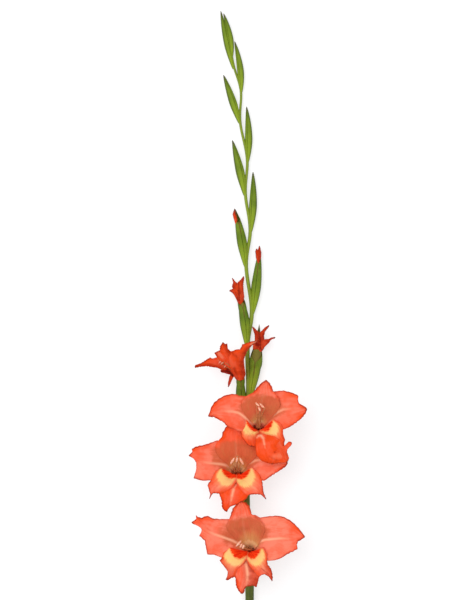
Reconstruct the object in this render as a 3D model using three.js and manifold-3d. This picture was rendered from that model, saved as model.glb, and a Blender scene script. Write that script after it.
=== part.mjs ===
// A cut gladiolus spike lying on its back: one tapering stem that steps from side to side at each floret,
// fifteen florets in two ranks, three of them open, one half open, and the rest buds that get smaller
// towards the tip. Millimetres and degrees. The stem runs along +Y from its cut end, the surface that the
// spike lies on is z = 0, and the open blooms look up along +Z.
//
// Every form is a formula on a grid: a sweep of rings for stem, tubes, bracts and stamens, and a thin blade
// for each tepal. Booleans fuse the six tepals of a bloom with its tube, and cut the room that a tube or a
// bud takes out of the bracts that clasp it.
import * as THREE from "three";
import { mergeVertices } from "three/addons/utils/BufferGeometryUtils.js";
import Module from "manifold-3d";

const wasm = await Module();
wasm.setup();

// ---- driving dimensions ----

const clearance = 0.3; // between two pieces that touch
const tepalThickness = 0.7;

// The bare stem below the florets: x and y of its axis, and its radius. It lies on the surface, so its axis
// is as high as its radius, less a sliver that is cut flat.
const bareStem = [
  { at: [0.6, 0], stemRadius: 4.7 },
  { at: [0.2, 100], stemRadius: 4.5 },
];
const flatSliver = 0.1;
const stemMesh = { steps: 32, sides: 8 };

// Florets from the cut end to the tip. at: where the floret sits on the stem's axis. lift: height of the axis
// there. stemRadius: of the stem there. side: -1 left, +1 right. tip: point of the outer bract. girth: half
// the width of the pair of bracts. bow: how far they bulge sideways, away from the line from foot to tip.
const florets = [
  { at: [0.7, 205], lift: 4.6, stemRadius: 4.3, side: 1, tip: [7.2, 260, 15], girth: 5.7, bow: 4 },
  { at: [-2.8, 283], lift: 4.6, stemRadius: 3.8, side: -1, tip: [-12.9, 334, 13], girth: 5.7, bow: -2.5 },
  { at: [-0.9, 329], lift: 4.6, stemRadius: 3.5, side: 1, tip: [9.2, 385, 14], girth: 5.7, bow: 3.5 },
  { at: [-3.4, 372], lift: 4.6, stemRadius: 3.1, side: -1, tip: [-7.8, 420, 8], girth: 5.2, bow: -2.2 },
  { at: [-0.2, 392], lift: 4.6, stemRadius: 2.8, side: 1, tip: [11.0, 466, 5.5], girth: 5.3, bow: 2.4 },
  { at: [-1.2, 445], lift: 4.6, stemRadius: 2.2, side: -1, tip: [-6.3, 500, 5], girth: 5.0, bow: -1.2 },
  { at: [3.1, 478], lift: 4.7, stemRadius: 2.0, side: 1, tip: [11.0, 541, 4.2], girth: 4.9, bow: 2.2 },
  { at: [-2.6, 526], lift: 4.7, stemRadius: 1.8, side: -1, tip: [-13.5, 582, 4.4], girth: 4.9, bow: 1.0 },
  { at: [1.5, 561], lift: 4.0, stemRadius: 1.7, side: 1, tip: [4.3, 620, 3.4], girth: 3.9, bow: 1.6 },
  { at: [-3.4, 598], lift: 4.2, stemRadius: 1.5, side: -1, tip: [-16.6, 652, 3.6], girth: 4.3, bow: 0.8 },
  { at: [-1.5, 632], lift: 3.8, stemRadius: 1.4, side: 1, tip: [-2.2, 686, 3.4], girth: 3.7, bow: 1.9 },
  { at: [-8.7, 671], lift: 3.9, stemRadius: 1.3, side: -1, tip: [-25.6, 718, 3.4], girth: 3.8, bow: 0.4 },
  { at: [-8.0, 702], lift: 3.4, stemRadius: 1.2, side: 1, tip: [-14.3, 752, 3.0], girth: 3.3, bow: 2.6 },
  { at: [-14.9, 726], lift: 3.2, stemRadius: 1.1, side: -1, tip: [-28.3, 783, 2.9], girth: 3.2, bow: -1.0 },
  { at: [-17.3, 738], lift: 3.3, stemRadius: 1.0, side: 1, tip: [-25.4, 780, 4.2], girth: 3.1, bow: 2.2 },
];

// A tepal: turn is its direction round the flower, 0 to the right and 90 towards the stem's tip. length is
// along its rib from the throat, width across. tip is its slope at the end, 90 lying flat and more rolling
// back. lean bends it sideways, skew gives one side more of the width, cup curls its edges forward, wave
// ruffles them, fill is how far out it stays wide. nicks are cuts in the edge: how far along, which side, how
// deep as a share of the half width, and how long as a share of the length.
const plainTepal = {
  tip: 92, lean: 0, skew: 0, cup: 0, wave: 1, waves: 1.6, phase: 0, fill: 3.5, point: 0.9, nicks: [],
};
const tepal = (whorl) => (turn, length, width, shape) =>
  ({ ...plainTepal, whorl, turn, length, width, ...shape });
const outer = tepal("outer");
const inner = tepal("inner");

// Where the two whorls of tepals are rooted: how far from the middle of the throat, and how far below its
// floor. The outer whorl is the back one.
const whorls = {
  inner: { radius: 3.4, drop: 2.5 },
  outer: { radius: 4.8, drop: 4.1 },
};

// How every tepal is formed: its half width at the root as a share of the root's radius, the shares of its
// length where it is full width and where the funnel's round has opened out, where the ruffle and the cupped
// edges begin and how fast they grow, how sharply it leaves the cup, and the least half width at its point.
const tepalForm = {
  rootShare: 1.22, fullWidthAt: 0.55, openAt: 0.6, edgesFrom: 0.3, ruffleIn: 0.4, cupIn: 0.5,
  leaving: 1.4, leastHalf: 0.5, otherEdge: 2.2, ribSteps: 60,
};

// Flowers: the floret they grow from, the middle of the throat's floor, and which way they look. funnel is
// how far along the tepals the cup reaches, and their slope at its floor and at its rim. scale is the size of
// the throat against that of an open bloom.
const openFunnel = { length: 30, floor: 16, rim: 74 };
const tepalMesh = { open: [9, 4], half: [6, 4], bud: [5, 2] }; // rows along a tepal and columns across it
const flowers = [
  {
    name: "bloom_1", floret: 0, throat: [0.6, 240, 32], facing: [0, 0, 1], scale: 1,
    mesh: tepalMesh.open, funnel: openFunnel,
    tepals: [
      outer(28, 63.4, 48, { tip: 96, lean: -34, skew: 0.12, wave: 1.6, nicks: [[0.9, -1, 0.5, 0.04]] }),
      outer(150, 70.6, 42, {
        tip: 94, lean: 8, skew: 0.12, wave: 2.2, fill: 5,
        nicks: [[0.88, 1, 0.5, 0.06], [0.88, -1, 0.4, 0.05]],
      }),
      inner(98.5, 61, 43, { tip: 66, fill: 4, point: 0.75, cup: 0.004 }),
      inner(218, 43.4, 28, { tip: 98, lean: 30, wave: 1.4 }),
      inner(321, 43.7, 28, { tip: 98, lean: -34, wave: 1.4, phase: 2 }),
      outer(263, 47.6, 29, { lean: -10, skew: 0.25, fill: 5 }),
    ],
    stamens: { lean: [-5, 9, 24], spread: 3.4 },
  },
  {
    name: "bloom_2", floret: 1, throat: [-12, 317.5, 24], facing: [0, 0, 1], scale: 1,
    mesh: tepalMesh.open, funnel: openFunnel,
    tepals: [
      outer(28, 59, 42, { tip: 94, lean: -36, wave: 1.4 }),
      outer(149, 57.2, 44, {
        tip: 96, lean: 30, skew: 0.15, wave: 2.0, fill: 5, nicks: [[0.8, 1, 0.2, 0.06]],
      }),
      inner(95, 53, 42, { tip: 94, fill: 3, point: 0.8 }),
      inner(212, 44.5, 29, { tip: 98, lean: 30, wave: 1.4 }),
      inner(329, 45.7, 30, { tip: 98, lean: -30, wave: 1.4, phase: 2 }),
      outer(260, 45.6, 30, { lean: -14, skew: 0.2, fill: 4.5 }),
    ],
    stamens: { lean: [0, 10, 24], spread: 4.2 },
  },
  {
    name: "bloom_3", floret: 2, throat: [9.5, 361.5, 37], facing: [0, 0, 1], scale: 1,
    mesh: tepalMesh.open, funnel: openFunnel,
    tepals: [
      outer(39, 58.8, 46, { tip: 94, lean: -44, skew: 0.2, wave: 1.4, nicks: [[0.88, 1, 0.5, 0.05]] }),
      outer(149.5, 58.5, 45, { tip: 96, lean: 42, skew: -0.2, wave: 1.6 }),
      inner(83.7, 58, 41, { tip: 72, lean: -5, fill: 4, point: 0.75 }),
      inner(224, 33, 29, { tip: 190, lean: 20, wave: 1.0 }),
      inner(344, 42, 30, { tip: 104, lean: -20, wave: 2.0, phase: 2 }),
      outer(301, 42.8, 32, { tip: 96, lean: -8 }),
    ],
    stamens: { lean: [1, 15, 24], spread: 2.6 },
  },
  {
    name: "bloom_4", floret: 3, throat: [-10.4, 420.5, 15.5], facing: [-0.42, 0.14, 0.9], scale: 0.75,
    mesh: tepalMesh.half, funnel: { length: 26, floor: 10, rim: 45 },
    tepals: [
      outer(41, 52.6, 24, { tip: 110, wave: 1.6, fill: 2 }),
      outer(180, 49.4, 22, { tip: 75, wave: 1.8, fill: 1.8 }),
      inner(100, 39.8, 30, { tip: 50, wave: 1.6, fill: 3 }),
      inner(141, 35.2, 22, { tip: 60, wave: 1.6, fill: 2 }),
      inner(197, 23, 18, { tip: 60, wave: 1 }),
      outer(266, 30.3, 8, { tip: 100, wave: 0.8, fill: 2 }),
    ],
    stamens: { lean: [-7, 3, 22], spread: 2 },
  },
  {
    name: "bud_5", floret: 4, throat: [6.5, 441, 8], facing: [0.25, 0.7, 0.67], scale: 0.6,
    mesh: tepalMesh.bud, funnel: { length: 16, floor: 6, rim: 40 },
    tepals: [
      outer(104, 23.5, 8, { tip: 80, wave: 0.4, fill: 1.7 }),
      outer(45, 28.5, 9, { tip: 70, wave: 0.4, fill: 1.7 }),
      outer(358, 25.5, 9, { tip: 90, wave: 0.4, fill: 1.7 }),
      outer(190, 17, 10, { tip: 25, wave: 0.4, fill: 2 }),
      outer(275, 19, 11, { tip: 25, wave: 0.4, fill: 2 }),
    ],
  },
  {
    name: "bud_6", floret: 5, throat: [-8.6, 490, 6.5], facing: [-0.25, 0.85, 0.47], scale: 0.6,
    mesh: tepalMesh.bud, funnel: { length: 14, floor: 6, rim: 25 },
    tepals: [
      outer(129, 26, 9, { tip: 30, wave: 0.4, fill: 2 }),
      outer(66, 25.5, 10, { tip: 30, wave: 0.4, fill: 2 }),
      outer(200, 16, 8, { tip: 60, wave: 0.4, fill: 1.7 }),
      outer(345, 20, 10, { tip: 15, wave: 0.4, fill: 2 }),
      outer(270, 18, 10, { tip: 15, wave: 0.4, fill: 2 }),
    ],
  },
];

// Buds that only show their coloured point: the line from inside the bracts to the point, and half its width.
const closedBuds = [
  { name: "bud_7", floret: 6, from: [8.8, 520, 5.0], to: [10.8, 545.5, 5.4], radius: 2.9 },
  { name: "bud_8", floret: 7, from: [-11.6, 559, 5.2], to: [-16.3, 578, 5.8], radius: 2.6 },
];
const closedBudMesh = { steps: 7, sides: 8 };

// The perianth tube: it starts at this share of the bracts' length, inside them, runs along them for a share
// of its reach, straightens before the throat, and widens from its foot to the throat.
const tube = {
  start: 0.3, alongBracts: 0.4, straight: 0.45, footRadius: 2.0, throatRadius: 6.1, steps: 6, sides: 8,
};

// The room in front of a throat where the tepals part the bracts: how far it reaches, and how much it widens.
const mouth = { from: -3, to: 22, flare: 6, sides: 10 };

// The bracts of a floret: the outer one wraps all but a narrow seam, where the inner one shows a little
// deeper. seamHalf is half the seam in degrees, seamDepth and keel are shares of the girth, seamTilt turns
// the seam from straight up towards the stem. footShare is how far to the side of the stem's axis they
// start, bowAt is where along them they bow out, and peak is the spindle's own greatest value.
const bract = {
  steps: 8, sides: 10, seamHalf: 26, seamDepth: 0.13, keel: 0.1, keelSharpness: 8, seamTilt: 0.45,
  footShare: 0.4, footBack: 2, bowAt: 0.45, bowReach: 1.6, restHeight: 1.02, peak: 0.437, least: 0.05,
};
const clasped = ["bracts_04", "bracts_14"]; // pairs that the pair above wraps

// Three stamens and a style, rooted round a small core on the throat's floor. stagger sets the middle stamen
// towards the cut end and a little lower.
const stamen = {
  core: 1.9, coreHeight: 1.8, footRing: 1.2, filament: 0.65, anther: 1.25, antherShare: 0.36,
  stagger: [2.5, 1.5], footHeight: 1, steps: 6, sides: 4,
};
const style = { radius: 0.6, past: 5, branch: 4.5, turns: [30, 150, 270], steps: 3, sides: 4 };

// The space under the surface that the spike lies on.
const under = { width: 400, length: 1200, depth: 10 };

// ---- small helpers ----

const { degToRad, lerp, clamp, smoothstep, euclideanModulo } = THREE.MathUtils;
const point = (x, y, z) => new THREE.Vector3(x, y, z);
const smooth = (x) => smoothstep(x, 0, 1);
const nearby = 1e-3; // step for a slope, as a share of a path or a surface

// The difference of a function over a small step round t, kept between two limits.
function change(curve, t, low, high) {
  return curve(Math.min(high, t + nearby)).sub(curve(Math.max(low, t - nearby)));
}

// Closed triangles as a solid that can be joined and cut.
function solidFrom(corners, triangles) {
  const geometry = new THREE.BufferGeometry();
  geometry.setAttribute("position", new THREE.Float32BufferAttribute(corners.flatMap((p) => p.toArray()), 3));
  geometry.setIndex(triangles);
  return solidFromGeometry(geometry);
}

function solidFromGeometry(geometry) {
  const weldDistance = 1e-4;
  const merged = mergeVertices(geometry, weldDistance);
  return new wasm.Manifold(new wasm.Mesh({
    numProp: 3,
    vertProperties: merged.attributes.position.array,
    triVerts: new Uint32Array(merged.index.array),
  }));
}

// The largest body of a solid, with any space that fusing sealed inside it filled.
function oneBody(solid) {
  return solid.decompose().reduce((a, b) => (b.volume() > a.volume() ? b : a));
}

// A solid back as geometry that three.js can draw.
function geometryFrom(solid) {
  const { vertProperties, triVerts } = solid.getMesh();
  const geometry = new THREE.BufferGeometry();
  geometry.setAttribute("position", new THREE.BufferAttribute(vertProperties, 3));
  geometry.setIndex(new THREE.BufferAttribute(triVerts, 1));
  geometry.computeVertexNormals();
  return geometry;
}

// A sweep: rings of points across a path, closed at both ends. path(t) gives the centre, radius(t, angle) the
// reach of the ring there, and the angle is counted from the direction that comes closest to startWay.
function sweep(path, radius, { steps, sides }, startWay) {
  const corners = [];
  const triangles = [];
  for (let i = 0; i <= steps; i++) {
    const t = i / steps;
    const centre = path(t);
    const ahead = change(path, t, 0, 1).normalize();
    const first = startWay.clone().addScaledVector(ahead, -startWay.dot(ahead)).normalize();
    const second = ahead.clone().cross(first);
    for (let k = 0; k < sides; k++) {
      const angle = (2 * Math.PI * k) / sides;
      const reach = radius(t, angle);
      corners.push(centre.clone()
        .addScaledVector(first, reach * Math.cos(angle))
        .addScaledVector(second, reach * Math.sin(angle)));
    }
  }
  for (let i = 0; i < steps; i++) {
    for (let k = 0; k < sides; k++) {
      const [a, b] = [i * sides + k, i * sides + ((k + 1) % sides)];
      triangles.push(a, b, b + sides, a, b + sides, a + sides);
    }
  }
  const foot = corners.push(path(0)) - 1;
  const head = corners.push(path(1)) - 1;
  for (let k = 0; k < sides; k++) {
    const next = (k + 1) % sides;
    triangles.push(foot, next, k, head, steps * sides + k, steps * sides + next);
  }
  return solidFrom(corners, triangles);
}

// A blade: a thin sheet with the same triangles on both faces. surface(t, v) gives its middle, with t from
// root to tip and v from -1 to 1 across.
function blade(surface, [steps, columns], thickness) {
  const row = columns + 1;
  const upper = [];
  const lower = [];
  for (let i = 0; i <= steps; i++) {
    for (let j = 0; j <= columns; j++) {
      const [t, v] = [i / steps, (2 * j) / columns - 1];
      const along = change((at) => surface(at, v), t, 0, 1);
      const across = change((at) => surface(t, at), v, -1, 1);
      const normal = along.cross(across).normalize();
      upper.push(surface(t, v).addScaledVector(normal, thickness / 2));
      lower.push(surface(t, v).addScaledVector(normal, -thickness / 2));
    }
  }
  const triangles = [];
  const below = upper.length;
  for (let i = 0; i < steps; i++) {
    for (let j = 0; j < columns; j++) {
      const [a, b, c, d] = [i * row + j, (i + 1) * row + j, (i + 1) * row + j + 1, i * row + j + 1];
      triangles.push(a, b, c, a, c, d);
      triangles.push(below + a, below + c, below + b, below + a, below + d, below + c);
    }
  }
  const count = (length, place) => Array.from({ length }, (_, k) => place(k));
  const rim = [
    ...count(columns, (j) => j),
    ...count(steps, (i) => i * row + columns),
    ...count(columns, (j) => steps * row + columns - j),
    ...count(steps, (i) => (steps - i) * row),
  ];
  rim.forEach((a, k) => {
    const b = rim[(k + 1) % rim.length];
    triangles.push(a, b, below + b, a, below + b, below + a);
  });
  return solidFrom([...upper, ...lower], triangles);
}

// ---- the stem ----

// A smooth line through the florets' feet, so that it steps left and right as the florets alternate.
const stations = [...bareStem.map((s) => ({ ...s, lift: bareStem[0].stemRadius - flatSliver })), ...florets];
const stemLine = new THREE.CatmullRomCurve3(
  stations.map((s) => point(...s.at, s.lift)), false, "centripetal");

// Radius of the stem at distance y from the cut end, straight between the stations.
function stemRadius(y) {
  const k = Math.max(1, stations.findIndex((s) => s.at[1] >= y));
  const [low, high] = [stations[k - 1], stations[k]];
  const share = clamp((y - low.at[1]) / (high.at[1] - low.at[1]), 0, 1);
  return lerp(low.stemRadius, high.stemRadius, share);
}

function stemSolid(extra = 0) {
  const path = (t) => stemLine.getPoint(t);
  return sweep(path, (t) => stemRadius(path(t).y) + extra, stemMesh, point(0, 0, -1));
}

// ---- bracts ----

// The line that a pair of bracts follows, from its foot beside the stem's axis to the point of the outer one.
function bractLine(f) {
  const aside = f.side * bract.footShare * f.stemRadius;
  const foot = point(f.at[0] + aside, f.at[1] - bract.footBack, f.lift);
  const tip = point(...f.tip);
  const middle = foot.clone().lerp(tip, bract.bowAt).add(point(f.bow * bract.bowReach, 0, 0));
  middle.z = Math.max(f.girth * bract.restHeight, (foot.z + tip.z) / 2 - 1);
  return new THREE.QuadraticBezierCurve3(foot, middle, tip);
}

// Spindle profile of a pair of bracts: narrow foot, widest at two fifths, long point.
const spindle = (t) => Math.max(bract.least, (Math.pow(1 - t, 0.8) * Math.sqrt(t + 0.03)) / bract.peak);

function bractSolid(f, extra = 0) {
  const line = bractLine(f);
  const seamWay = point(-f.side * bract.seamTilt, 0, 1).normalize();
  const reach = (t, angle) => {
    const away = Math.abs(euclideanModulo(angle + Math.PI, 2 * Math.PI) - Math.PI);
    const seam = away < degToRad(bract.seamHalf) ? bract.seamDepth : 0;
    const keel = bract.keel * Math.pow(Math.max(0, -Math.cos(away)), bract.keelSharpness);
    return extra + f.girth * spindle(t) * (1 - seam + keel);
  };
  return sweep((t) => line.getPoint(t), reach, bract, seamWay);
}

// ---- flowers ----

// A flower's own axes: out along its facing, up towards the stem's tip, right across. around(turn) is a
// direction round it in degrees, place(x, y, z) a point by its distances right, up and out of the throat.
function flowerAxes(flower) {
  const out = point(...flower.facing).normalize();
  const up = point(0, 1, 0);
  up.addScaledVector(out, -up.dot(out)).normalize();
  const right = up.clone().cross(out);
  const throat = point(...flower.throat);
  const around = (turn) => right.clone().multiplyScalar(Math.cos(degToRad(turn)))
    .addScaledVector(up, Math.sin(degToRad(turn)));
  const place = (x, y, z) => throat.clone().addScaledVector(right, x).addScaledVector(up, y)
    .addScaledVector(out, z);
  return { out, right, throat, around, place };
}

// Slope of a tepal's rib at t, in radians from the flower's facing: steep at the throat's floor, then out
// over the cup's rim, then on to its own slope at the tip.
function ribSlope(funnel, leaf, t) {
  const s = t * leaf.length;
  const cup = lerp(funnel.floor, funnel.rim, smooth(s / funnel.length));
  const past = Math.max(0, s - funnel.length) / Math.max(1, leaf.length - funnel.length);
  return degToRad(cup + (leaf.tip - funnel.rim) * Math.pow(past, tepalForm.leaving));
}

// Half the width of a tepal at t on one side of its rib.
function halfWidth(leaf, rootRadius, t, side) {
  const body = lerp(tepalForm.rootShare * rootRadius, leaf.width / 2, smooth(t / tepalForm.fullWidthAt));
  const ends = Math.pow(1 - Math.pow(t, leaf.fill), leaf.point);
  const share = 1 + side * leaf.skew * smooth(t);
  const nick = leaf.nicks.filter(([, where]) => where === side)
    .reduce((sum, [at, , depth, size]) => sum + depth * Math.exp(-(((t - at) / size) ** 2)), 0);
  return Math.max(tepalForm.leastHalf, body * share * ends * (1 - nick));
}

// The rib as points that follow its slope and its direction round the flower.
function ribPoints(flower, leaf, start) {
  const { out, around } = flowerAxes(flower);
  const count = tepalForm.ribSteps;
  const points = [start];
  for (let i = 0; i < count; i++) {
    const t = (i + 0.5) / count;
    const slope = ribSlope(flower.funnel, leaf, t);
    points.push(points[i].clone()
      .addScaledVector(around(leaf.turn + leaf.lean * t * t), (Math.sin(slope) * leaf.length) / count)
      .addScaledVector(out, (Math.cos(slope) * leaf.length) / count));
  }
  return points;
}

// The middle surface of a tepal. The section across its rib is an arc that follows the funnel's round near
// the throat and opens out beyond it, and its edges wave up and down.
function tepalSurface(flower, leaf) {
  const { out, throat, around } = flowerAxes(flower);
  const rootRadius = whorls[leaf.whorl].radius * flower.scale;
  const root = throat.clone()
    .addScaledVector(out, -whorls[leaf.whorl].drop * flower.scale)
    .addScaledVector(around(leaf.turn), rootRadius);
  const rib = ribPoints(flower, leaf, root);
  const ribAt = (t) => {
    const i = Math.min(rib.length - 2, Math.floor(t * (rib.length - 1)));
    return rib[i].clone().lerp(rib[i + 1], t * (rib.length - 1) - i);
  };
  return (t, v) => {
    const away = around(leaf.turn + leaf.lean * t * t);
    const slope = ribSlope(flower.funnel, leaf, t);
    const across = out.clone().cross(away);
    const inward = out.clone().multiplyScalar(Math.sin(slope)).addScaledVector(away, -Math.cos(slope));
    const middle = ribAt(t);
    const fromAxis = middle.clone().sub(throat);
    const gap = Math.max(rootRadius, fromAxis.addScaledVector(out, -fromAxis.dot(out)).length());
    const past = t - tepalForm.edgesFrom;
    const bend = (1 - smooth(t / tepalForm.openAt)) / gap + leaf.cup * smooth(past / tepalForm.cupIn) + 1e-5;
    const arc = halfWidth(leaf, rootRadius, t, Math.sign(v)) * v * bend;
    const ruffle = leaf.wave * Math.pow(Math.abs(v), 1.5) * smooth(past / tepalForm.ruffleIn)
      * Math.sin(2 * Math.PI * leaf.waves * t + leaf.phase + (v > 0 ? tepalForm.otherEdge : 0));
    return middle
      .addScaledVector(across, Math.sin(arc) / bend)
      .addScaledVector(inward, (1 - Math.cos(arc)) / bend + ruffle);
  };
}

// The tube's line leaves along the bracts and turns to the flower's facing.
function tubeLine(flower) {
  const { throat, place } = flowerAxes(flower);
  const bracts = bractLine(florets[flower.floret]);
  const foot = bracts.getPoint(tube.start);
  const reach = throat.distanceTo(foot);
  const ahead = foot.clone().addScaledVector(bracts.getTangent(tube.start), tube.alongBracts * reach);
  return new THREE.CubicBezierCurve3(foot, ahead, place(0, 0, -tube.straight * reach), throat);
}

function tubeSolid(flower, extra = 0) {
  const line = tubeLine(flower);
  const throatRadius = tube.throatRadius * flower.scale;
  const radius = (t) => extra + lerp(tube.footRadius, throatRadius, smooth((t - 0.2) / 0.8));
  return sweep((t) => line.getPoint(t), radius, tube, point(1, 0, 0));
}

function mouthRoom(flower) {
  const { right, place } = flowerAxes(flower);
  const start = tube.throatRadius * flower.scale + clearance;
  const line = (t) => place(0, 0, lerp(mouth.from, mouth.to, t));
  return sweep(line, (t) => start + mouth.flare * t, { steps: 1, sides: mouth.sides }, right);
}

function tepalsSolid(flower) {
  const leaves = flower.tepals.map((leaf) => blade(tepalSurface(flower, leaf), flower.mesh, tepalThickness));
  return oneBody(wasm.Manifold.union([tubeSolid(flower), ...leaves]));
}

// One stamen: a filament from the core's ring that bows up, and the anther at its end.
function stamenRod(flower, side, forward) {
  const { place, right } = flowerAxes(flower);
  const [x, y, z] = flower.stamens.lean;
  const [back, drop] = stamen.stagger;
  const foot = [stamen.footRing * side, stamen.footRing * forward, clearance + stamen.footHeight];
  const head = [x + side * flower.stamens.spread, y + forward * back, z - forward * drop];
  const bow = [foot[0] + 0.3 * head[0], foot[1] + 0.3 * head[1], 0.6 * head[2]];
  const line = new THREE.QuadraticBezierCurve3(place(...foot), place(...bow), place(...head));
  const bulge = (t) => Math.sqrt(Math.max(0.08, Math.sin((Math.PI * (1 - t)) / stamen.antherShare)));
  const radius = (t) => (t > 1 - stamen.antherShare ? stamen.anther * bulge(t) : stamen.filament);
  return sweep((t) => line.getPoint(t), radius, stamen, right);
}

// The style, which reaches past the anthers, and its three branches.
function styleRods(flower) {
  const { place, right, out, around } = flowerAxes(flower);
  const [x, y, z] = flower.stamens.lean;
  const top = place(1.1 * x, y + style.past, z + style.past);
  const foot = place(0, stamen.footRing, clearance + stamen.footHeight);
  const line = new THREE.QuadraticBezierCurve3(foot, place(0.3 * x, 0.5 * y + 2.5, 0.6 * z), top);
  const branches = style.turns.map((turn) => {
    const path = (t) => top.clone().addScaledVector(around(turn), (t - 0.1) * style.branch)
      .addScaledVector(out, 2 * t - 0.3);
    return sweep(path, (t) => style.radius * (0.9 + 0.4 * t), { steps: 1, sides: style.sides }, out);
  });
  return [sweep((t) => line.getPoint(t), () => style.radius, style, right), ...branches];
}

function stamensSolid(flower) {
  const { place, right } = flowerAxes(flower);
  const coreLine = (t) => place(0, 0, clearance + stamen.coreHeight * t);
  const core = sweep(coreLine, () => stamen.core, { steps: 1, sides: 6 }, right);
  const rods = [[-1, 0], [0, -1], [1, 0]].map(([side, forward]) => stamenRod(flower, side, forward));
  return oneBody(wasm.Manifold.union([core, ...rods, ...styleRods(flower)]));
}

// The coloured point of a closed bud: a slim spindle that is widest inside the bracts.
function closedBudSolid(bud, extra = 0) {
  const [from, to] = [point(...bud.from), point(...bud.to)];
  const round = (t) => Math.sqrt(Math.max(0.02, 1 - Math.pow((t - 0.45) / 0.56, 2)));
  const radius = (t) => extra + bud.radius * round(t);
  return sweep((t) => from.clone().lerp(to, t), radius, closedBudMesh, point(0, 0, 1));
}

// ---- the whole spike ----

const finish = (color, roughness) => new THREE.MeshStandardMaterial({ color, roughness, metalness: 0 });
const finishes = {
  stem: finish(0x7a8c35, 0.55),
  bract: finish(0x6f8a2a, 0.55),
  tepal: finish(0xfa7355, 0.6),
  bud: finish(0xd23c18, 0.6),
  stamen: finish(0xf0c4a4, 0.6),
};

function spaceBelow() {
  const box = new THREE.BoxGeometry(under.width, under.length, under.depth);
  box.translate(0, under.length / 3, -under.depth / 2);
  box.deleteAttribute("normal");
  box.deleteAttribute("uv");
  return solidFromGeometry(box);
}

const placed = new THREE.Group();

function add(name, solid, material) {
  const mesh = new THREE.Mesh(geometryFrom(solid), material);
  mesh.name = name;
  placed.add(mesh);
}

const below = spaceBelow();
const rooms = florets.map(() => [below, stemSolid(clearance)]); // what is cut out of each pair of bracts

add("stem", stemSolid().subtract(below), finishes.stem);

for (const flower of flowers) {
  add(`${flower.name}_tepals`, tepalsSolid(flower), flower.stamens ? finishes.tepal : finishes.bud);
  if (flower.stamens) {
    add(`${flower.name}_stamens`, stamensSolid(flower), finishes.stamen);
  }
  rooms[flower.floret].push(tubeSolid(flower, clearance), mouthRoom(flower));
}

for (const bud of closedBuds) {
  add(`${bud.name}_tepals`, closedBudSolid(bud), finishes.bud);
  rooms[bud.floret].push(closedBudSolid(bud, clearance));
}

florets.forEach((f, i) => {
  const name = `bracts_${String(i + 1).padStart(2, "0")}`;
  if (clasped.includes(name)) {
    rooms[i].push(bractSolid(florets[i + 1], clearance));
  }
  const cut = rooms[i].reduce((solid, room) => solid.subtract(room), bractSolid(f));
  add(name, oneBody(cut), finishes.bract);
});

// The origin is under the middle of the spike's box, on the surface.
const middle = new THREE.Box3().setFromObject(placed).getCenter(new THREE.Vector3());
placed.position.set(-middle.x, -middle.y, 0);
const spike = new THREE.Group();
spike.add(placed);

export default spike;
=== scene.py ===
import math
import bpy
import numpy as np
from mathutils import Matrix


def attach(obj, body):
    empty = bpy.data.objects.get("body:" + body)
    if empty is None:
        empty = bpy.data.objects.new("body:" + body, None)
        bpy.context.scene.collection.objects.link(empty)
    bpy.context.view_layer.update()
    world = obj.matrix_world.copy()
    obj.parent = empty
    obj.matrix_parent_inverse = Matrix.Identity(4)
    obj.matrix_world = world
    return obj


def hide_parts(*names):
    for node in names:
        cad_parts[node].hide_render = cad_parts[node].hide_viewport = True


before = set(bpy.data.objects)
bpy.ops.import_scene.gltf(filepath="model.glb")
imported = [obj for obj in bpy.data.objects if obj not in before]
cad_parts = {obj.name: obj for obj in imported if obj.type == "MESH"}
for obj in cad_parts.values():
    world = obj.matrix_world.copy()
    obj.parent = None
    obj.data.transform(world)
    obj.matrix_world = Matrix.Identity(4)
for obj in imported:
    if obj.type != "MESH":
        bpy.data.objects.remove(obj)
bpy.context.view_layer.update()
print("frame loaded:", len(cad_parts), "nodes")

# Lengths are in millimetres until a mesh is made. Plain positions (x, y, z) count from the stem's cut
# end, with y along the stem and z up from the surface. Outlines are written as the camera sees them,
# (across, down) in its 450 by 600 picture, and toPlan puts such a point at its height over the surface.
view = {"distance": 2200.0, "focus": 30.0, "over": (-24.0, 490.0), "middle": (225.0, 300.0), "high": 600.0}
origin = np.array([-1.385, 391.504, 0.0])  # the frame's origin, in plain positions
metre = 0.001


def toPlan(across, down, z):
    # position = the spot under the camera + (place - middle) * (distance - z) / (distance - focus)
    zoom = (view["distance"] - z) / (view["distance"] - view["focus"])
    x = view["over"][0] + (across - view["middle"][0]) * zoom
    y = view["over"][1] - (down - view["middle"][1]) * zoom
    return np.stack([x, y, np.broadcast_to(z, np.shape(x))], -1)


def smooth(x):
    # cubic ease from 0 to 1, held flat outside
    x = np.clip(x, 0, 1)
    return x * x * (3 - 2 * x)


def bell(x):
    return np.exp(-x ** 2)


def mix(a, b, share):
    return a + (b - a) * share


def unit(v):
    return v / np.maximum(np.linalg.norm(v, axis=-1, keepdims=True), 1e-12)


def turnOf(sides):
    return np.linspace(0, 2 * np.pi, sides, endpoint=False)[None, :]


def fieldOf(shape, *values):
    # several values, each a number or an array, as one vector at every point
    return np.stack([np.broadcast_to(value, shape) for value in values], -1).reshape(-1, len(values))


def evenLine(points, count, rounding=0.0):
    # polyline through the points, spaced evenly by length, its corners rounded by a short moving average
    points = np.asarray(points, float)
    run = np.concatenate([[0], np.cumsum(np.linalg.norm(np.diff(points, axis=0), axis=1))])
    fine = np.linspace(0, run[-1], 4 * count)
    line = np.stack([np.interp(fine, run, column) for column in points.T], -1)
    half = int(rounding * len(fine))
    if half:
        before = 2 * line[:1] - line[half:0:-1]
        after = 2 * line[-1:] - line[-2:-half - 2:-1]
        padded = np.concatenate([before, line, after])
        kernel = np.hanning(2 * half + 3)[1:-1]
        kernel /= kernel.sum()
        line = np.stack([np.convolve(column, kernel, "valid") for column in padded.T], -1)
    share = np.linspace(0, 1, count)
    return np.stack([np.interp(share, np.linspace(0, 1, len(line)), column) for column in line.T], -1)


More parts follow.
